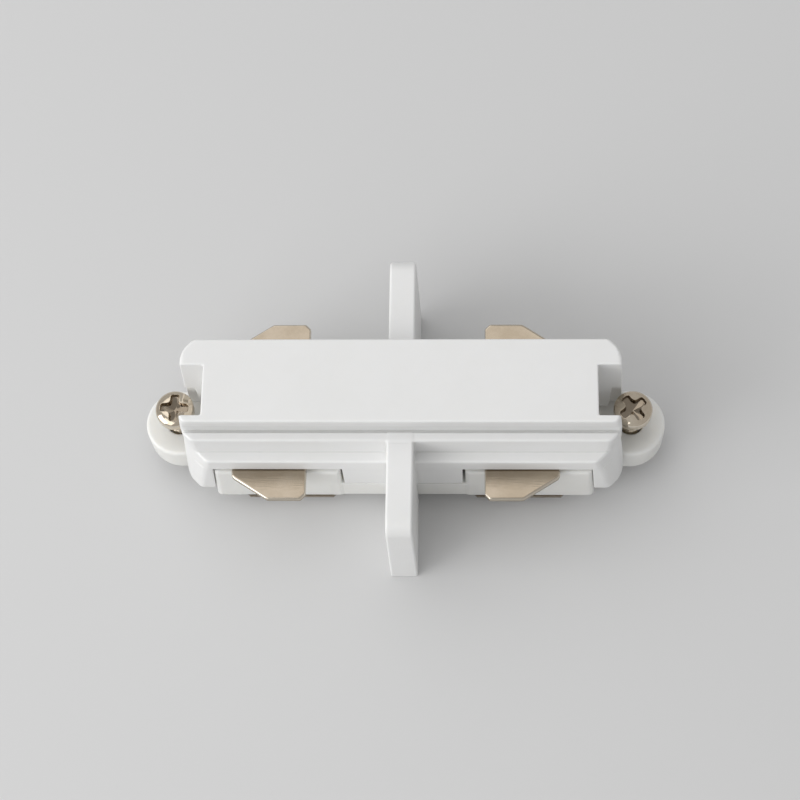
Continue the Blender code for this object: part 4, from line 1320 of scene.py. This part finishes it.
@cache
def grain_group() -> bpy.types.NodeTree:
    """Height of a moulded surface: fine spark grain with slow waves left by shrinkage.

    Returns:
        The group, built once.
    """
    inputs = {"Grain": 7000.0, "Waves": 320.0, "Share": 0.5}
    wire, given, out = new_group("moulded_grain", inputs, {"Height": FLOAT})
    place = wire.place()
    grain = wire.noise(place, given["Grain"], 3.0, 0.6)
    waves = wire.noise(place, given["Waves"], 1.0)
    mixed = wire.add("ShaderNodeMix", {0: given["Share"], 2: waves, 3: grain}, data_type="FLOAT")
    wire.feed(out, {"Height": mixed.outputs[0]})
    return wire.tree


@cache
def tint_group() -> bpy.types.NodeTree:
    """Colour that drifts slowly between two tints, with small clouds in it.

    Returns:
        The group, built once.
    """
    inputs = {"First": WHITE, "Second": WHITE, "Scale": 90.0}
    wire, given, out = new_group("drifting_tint", inputs, {"Color": COLOUR})
    place = wire.place()
    slow = wire.noise(place, given["Scale"], 2.0)
    fine = wire.noise(place, wire.sum("MULTIPLY", given["Scale"], 9.0), 3.0)
    both = wire.sum("ADD", wire.sum("MULTIPLY", slow, 0.75), wire.sum("MULTIPLY", fine, 0.25))
    share = wire.spread(both, 0.36, 0.64)
    wire.feed(out, {"Color": wire.blend(share, given["First"], given["Second"])})
    return wire.tree


@cache
def edge_light_group() -> bpy.types.NodeTree:
    """Painted highlight on outer edges and painted shade in inner corners, mixed into a colour by the edge
    attribute.

    Returns:
        The group, built once.
    """
    inputs = {"Color": WHITE, "Edge": WHITE, "Corner": WHITE, "Share": 0.5}
    wire, given, out = new_group("edge_tone", inputs, {"Color": COLOUR})
    bend = wire.add("ShaderNodeAttribute", attribute_name="edge").outputs["Fac"]
    outer = wire.sum("MULTIPLY", wire.spread(bend, 0.15, 0.9), given["Share"])
    inner = wire.sum("MULTIPLY", wire.spread(bend, -0.15, -0.8), given["Share"])
    lit = wire.blend(outer, given["Color"], given["Edge"])
    wire.feed(out, {"Color": wire.blend(inner, lit, given["Corner"])})
    return wire.tree


@cache
def streak_group() -> bpy.types.NodeTree:
    """Rolling lines: noise read on coordinates that are squeezed across the lines.

    Returns:
        The group, built once.
    """
    inputs = {"Squeeze": (1.0, 30.0, 30.0), "Scale": 500.0}
    wire, given, out = new_group("rolling_lines", inputs, {"Mask": FLOAT})
    inputs = {0: wire.place(), 1: given["Squeeze"]}
    squeezed = wire.add("ShaderNodeVectorMath", inputs, operation="MULTIPLY").outputs[0]
    wire.feed(out, {"Mask": wire.spread(wire.noise(squeezed, given["Scale"], 4.0, 0.65), 0.3, 0.7)})
    return wire.tree


@cache
def mark_group() -> bpy.types.NodeTree:
    """Handling marks: smudges, and thin scratches where a stretched noise passes its middle.

    Returns:
        The group, built once.
    """
    inputs = {"Smudges": 250.0, "Scratches": 900.0}
    wire, given, out = new_group("handling_marks", inputs, {"Smudge": FLOAT, "Scratch": FLOAT})
    place = wire.place()
    smudge = wire.spread(wire.noise(place, given["Smudges"], 4.0, 0.6), 0.42, 0.7)
    found = []
    for turn, stretch in ((0.5, 0.08), (2.1, 0.06)):
        inputs = {"Vector": place, "Rotation": (0.0, 0.0, turn), "Scale": (1.0, stretch, 1.0)}
        turned = wire.add("ShaderNodeMapping", inputs).outputs["Vector"]
        lines = wire.noise(turned, given["Scratches"], 1.0)
        off = wire.sum("ABSOLUTE", wire.sum("SUBTRACT", lines, 0.5), 0.0)
        found.append(wire.spread(off, 0.012, 0.0))
    patch = wire.spread(wire.noise(place, 400.0, 2.0), 0.45, 0.6)
    scratch = wire.sum("MULTIPLY", wire.sum("MAXIMUM", *found), patch)
    wire.feed(out, {"Smudge": smudge, "Scratch": scratch})
    return wire.tree


def colour(red: float, green: float, blue: float) -> Colour:
    """Colour from its three linear parts, with full alpha."""
    return (red, green, blue, 1.0)


@dataclass(frozen=True)
class Finish:
    """What every finish has: its name, the record's slot, its colours, the colours of its painted edge
    highlight and painted corner shade, and its wear.
    """

    name: str
    slot: Slot
    first: Colour
    second: Colour
    # edge is the colour of the painted highlight on outer edges; corner is the colour of the painted shade in
    # inner corners and recesses.
    edge: Colour = WHITE
    corner: Colour = (0.3, 0.26, 0.2, 1.0)
    smooth: float = 0.2
    rough: float = 0.35
    tint_scale: float = 260.0
    edge_share: float = 0.7
    smudges: float = 420.0
    scratches: float = 1500.0
    scratch: float = 0.35
    depth: float = 0.000004
    bump: float = 0.7

    def material(self) -> bpy.types.Material:
        """The finish's material, made when it is first wanted.

        Tints, painted highlights on edges with painted shade in corners, and scratches are common to all
        finishes; each kind adds what is its own.

        Returns:
            The material.
        """
        made = bpy.data.materials.get(self.name)
        if made is None:
            made = bpy.data.materials.new(self.name)
            made.use_nodes = True
            wire = Wire(made.node_tree)
            inputs = {"First": self.first, "Second": self.second, "Scale": self.tint_scale}
            tint = wire.group(tint_group(), inputs).outputs["Color"]
            inputs = {"Color": tint, "Edge": self.edge, "Corner": self.corner, "Share": self.edge_share}
            toned = wire.group(edge_light_group(), inputs).outputs["Color"]
            marks = wire.group(mark_group(), {"Smudges": self.smudges, "Scratches": self.scratches})
            inputs, relief = self.surface(wire, toned, marks.outputs["Smudge"])
            cut = wire.sum("MULTIPLY", marks.outputs["Scratch"], self.scratch)
            height = wire.sum("SUBTRACT", relief, cut)
            settings = {"Height": height, "Distance": self.depth, "Strength": self.bump}
            inputs["Normal"] = wire.add("ShaderNodeBump", settings).outputs["Normal"]
            wire.feed(made.node_tree.nodes["Principled BSDF"], inputs)
        return made

    def surface(self, wire: Wire, toned: Socket, smudge: Socket) -> tuple[dict, Socket]:
        """Add what is particular to a kind of finish.

        Args:
            wire: The material's wire.
            toned: The colour with its worn edges.
            smudge: The mask of the smudges.

        Returns:
            The shader's inputs, and the height that the scratches cut into.
        """
        raise NotImplementedError

    def dress(self, piece: bpy.types.Object) -> None:
        """Put the finish's material on a piece or a CAD node."""
        piece.data.materials.clear()
        piece.data.materials.append(self.material())


@dataclass(frozen=True)
class Plastic(Finish):
    """Moulded thermoplastic: two close whites, a fine grain, and light that enters a little."""

    smooth: float = 0.34
    rough: float = 0.46
    tint_scale: float = 80.0
    edge_share: float = 0.5
    smudges: float = 160.0
    scratches: float = 500.0
    scratch: float = 0.25
    depth: float = 0.000012
    bump: float = 0.8
    grain: float = 6500.0
    waves: float = 260.0
    grain_share: float = 0.45
    milky: float = 0.1
    milky_radius: Triple = (1.0, 0.95, 0.85)
    milky_scale: float = 0.0008
    shine: float = 0.45

    def surface(self, wire: Wire, toned: Socket, smudge: Socket) -> tuple[dict, Socket]:
        """Let smudges change the roughness, and give the surface its grain.

        Args:
            wire: The material's wire.
            toned: The colour with its worn edges.
            smudge: The mask of the smudges.

        Returns:
            The shader's inputs, and the height of the grain.
        """
        given = {"Grain": self.grain, "Waves": self.waves, "Share": self.grain_share}
        grain = wire.group(grain_group(), given)
        inputs = {
            "Base Color": toned,
            "Roughness": wire.spread(smudge, 0.0, 1.0, self.smooth, self.rough),
            "Subsurface Weight": self.milky,
            "Subsurface Radius": self.milky_radius,
            "Subsurface Scale": self.milky_scale,
            "Specular IOR Level": self.shine,
        }
        return inputs, grain.outputs["Height"]


@dataclass(frozen=True)
class Metal(Finish):
    """Bare or plated metal: rolling lines, smudges, fine scratches, and painted highlight on edges with
    painted shade in recesses.
    """

    squeeze: Triple = (1.0, 30.0, 30.0)
    lines: float = 400.0
    line_tone: float = 0.12
    smudge_share: float = 0.6
    worn_range: Pair = (0.1, 0.8)

    def surface(self, wire: Wire, toned: Socket, smudge: Socket) -> tuple[dict, Socket]:
        """Let the rolling lines change the colour, the roughness and the height.

        Args:
            wire: The material's wire.
            toned: The colour with its worn edges.
            smudge: The mask of the smudges.

        Returns:
            The shader's inputs, and the height of the lines.
        """
        given = {"Squeeze": self.squeeze, "Scale": self.lines}
        lines = wire.group(streak_group(), given).outputs["Mask"]
        smudged = wire.sum("MULTIPLY", smudge, self.smudge_share)
        wear_and_highlight = wire.sum("ADD", smudged, wire.sum("MULTIPLY", lines, 1.0 - self.smudge_share))
        inputs = {
            "Base Color": wire.blend(wire.sum("MULTIPLY", lines, self.line_tone), toned, self.second),
            "Roughness": wire.spread(wear_and_highlight, *self.worn_range, self.smooth, self.rough),
            "Metallic": 1.0,
        }
        return inputs, lines


HOUSING_PLASTIC = Plastic(
    "white_moulding",
    Slot.HOUSING,
    colour(0.82, 0.82, 0.815),
    colour(0.80, 0.80, 0.79),
    # Painted highlight on outer edges and painted shade in inner corners.
    edge=colour(0.86, 0.86, 0.855),
    corner=colour(0.70, 0.70, 0.68),
)
CARRIER_PLASTIC = Plastic(
    "milky_moulding",
    Slot.CARRIER,
    colour(0.82, 0.818, 0.79),
    colour(0.795, 0.79, 0.76),
    # Painted highlight on outer edges and painted shade in inner corners.
    edge=colour(0.86, 0.86, 0.84),
    corner=colour(0.70, 0.70, 0.67),
    milky=0.4,
    milky_scale=0.002,
)
CONTACT_METAL = Metal(
    "nickel_sheet",
    Slot.NICKEL,
    colour(0.43, 0.365, 0.285),
    colour(0.36, 0.30, 0.225),
    # Colour of the painted highlight on the rolled rim.
    edge=colour(0.78, 0.72, 0.62),
    smooth=0.07,
    rough=0.16,
    squeeze=(1.0, 26.0, 26.0),
)
EARTH_METAL = Metal(
    "nickel_strip",
    Slot.NICKEL,
    colour(0.41, 0.35, 0.275),
    colour(0.32, 0.265, 0.20),
    edge=colour(0.74, 0.68, 0.58),
    smooth=0.16,
    rough=0.3,
    squeeze=(1.0, 24.0, 24.0),
)
BUS_BRASS = Metal(
    "plain_brass",
    Slot.BRASS,
    colour(0.68, 0.52, 0.28),
    colour(0.50, 0.36, 0.18),
    edge=colour(0.82, 0.68, 0.42),
    smooth=0.22,
    rough=0.4,
)
SCREW_NICKEL = Metal(
    "polished_nickel",
    Slot.SCREW,
    colour(0.74, 0.66, 0.54),
    colour(0.58, 0.49, 0.38),
    # edge is the colour of the painted highlight on the rim, corner that of the painted shade in the cross
    # recess.
    edge=colour(0.92, 0.87, 0.78),
    corner=colour(0.10, 0.07, 0.045),
    smooth=0.05,
    rough=0.15,
    squeeze=(6.0, 6.0, 6.0),
    depth=0.000002,
)
ZINC_PLATE = Metal(
    "zinc_plate",
    Slot.ZINC,
    colour(0.62, 0.62, 0.60),
    colour(0.47, 0.47, 0.46),
    edge=colour(0.8, 0.8, 0.79),
    smooth=0.18,
    rough=0.36,
    squeeze=(5.0, 5.0, 5.0),
)
KEPT_NODES = {"earth_plate": EARTH_METAL, "bus_bar_front": BUS_BRASS, "bus_bar_rear": BUS_BRASS}


# Stage


@dataclass(frozen=True)
class Camera:
    """The photograph's viewpoint: angles in degrees, distances in millimetres."""

    azimuth: float = 7.149
    elevation: float = 68.735
    roll: float = -6.683
    aside: float = 0.838
    below: float = -5.467
    distance: float = 253.0
    lens: float = 90.0
    sensor: float = 36.0
    clip: Pair = (0.01, 20.0)

    def build(self) -> None:
        """Stand the camera back along its view and shift it in its own plane."""
        azimuth, elevation, roll = map(math.radians, (self.azimuth, self.elevation, self.roll))
        level = math.cos(elevation)
        back = Vector((math.sin(azimuth) * level, -math.cos(azimuth) * level, math.sin(elevation)))
        flat = Vector((math.cos(azimuth), math.sin(azimuth), 0.0))
        rise = back.cross(flat)
        right = math.cos(roll) * flat + math.sin(roll) * rise
        up = math.cos(roll) * rise - math.sin(roll) * flat
        place = back * self.distance - right * self.aside - up * self.below
        data = bpy.data.cameras.new("camera")
        data.sensor_fit = "HORIZONTAL"
        data.sensor_width = self.sensor
        data.lens = self.lens
        data.clip_start, data.clip_end = self.clip
        made = add_object("camera", data)
        turn = Matrix((right, up, back)).transposed().to_4x4()
        made.matrix_world = Matrix.Translation(place * MM) @ turn
        bpy.context.scene.camera = made


@dataclass(frozen=True)
class Softbox:
    """A square lamp that faces the part: where it hangs, its distance and size in metres."""

    name: str
    direction: Triple
    distance: float
    size: float
    power: float

    def build(self) -> None:
        """Hang the lamp and turn its face to the part."""
        data = bpy.data.lights.new(self.name, "AREA")
        data.shape = "SQUARE"
        data.size = self.size
        data.energy = self.power
        lamp = add_object(self.name, data)
        away = Vector(self.direction).normalized()
        lamp.location = away * self.distance
        lamp.rotation_euler = away.to_track_quat("Z", "Y").to_euler()


LAMPS = (
    Softbox("overhead", (-0.34, 0.36, 0.86), 0.6, 0.55, 0.82),
    Softbox("left", (-0.85, -0.36, 0.45), 0.6, 0.4, 1.5),
    Softbox("front", (-0.52, -0.58, 0.65), 0.7, 0.5, 0.95),
)


@dataclass(frozen=True)
class Room:
    """Plain pale floor, its size in metres, and an even sky."""

    floor: Colour = colour(0.66, 0.66, 0.66)
    rough: float = 0.9
    shine: float = 0.1
    sky: float = 0.5
    reach: float = 3.0

    def build(self) -> None:
        """Lay the floor at the part's foot and set the sky."""
        corners = [(-1, -1), (1, -1), (1, 1), (-1, 1)]
        mesh = bpy.data.meshes.new("floor")
        mesh.from_pydata([(x * self.reach, y * self.reach, 0.0) for x, y in corners], [], [range(4)])
        floor = add_object("floor", mesh)
        paint = bpy.data.materials.new("floor_paint")
        paint.use_nodes = True
        inputs = {"Base Color": self.floor, "Roughness": self.rough, "Specular IOR Level": self.shine}
        Wire(paint.node_tree).feed(paint.node_tree.nodes["Principled BSDF"], inputs)
        mesh.materials.append(paint)
        world = bpy.data.worlds.new("sky")
        world.use_nodes = True
        inputs = {"Color": WHITE, "Strength": self.sky}
        Wire(world.node_tree).feed(world.node_tree.nodes["Background"], inputs)
        bpy.context.scene.world = world
        bpy.context.scene.view_settings.view_transform = "Standard"


def main() -> None:
    """Set the stage, then build the connector piece by piece and dress the kept CAD nodes."""
    logging.basicConfig(level=logging.INFO, format="%(message)s")
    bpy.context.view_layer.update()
    Camera().build()
    Room().build()
    for lamp in LAMPS:
        lamp.build()
    Housing().build()
    Carrier().build()
    for side in Side:
        clamp_screw(side).build(SCREW_NICKEL)
        Nut(side).build()
        for row in Row:
            Contact(side, row).build()
            Rivet(side, row).build()
    inner, outer = ASSEMBLY_X
    for number, x in enumerate((-outer, -inner, inner, outer), start=1):
        assembly_screw(number, x).build(ZINC_PLATE)
    for node, finish in KEPT_NODES.items():
        finish.dress(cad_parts[node])
        LOG.info("%s: kept from the CAD, in %s", node, finish.name)


if __name__ == "__main__":
    main()
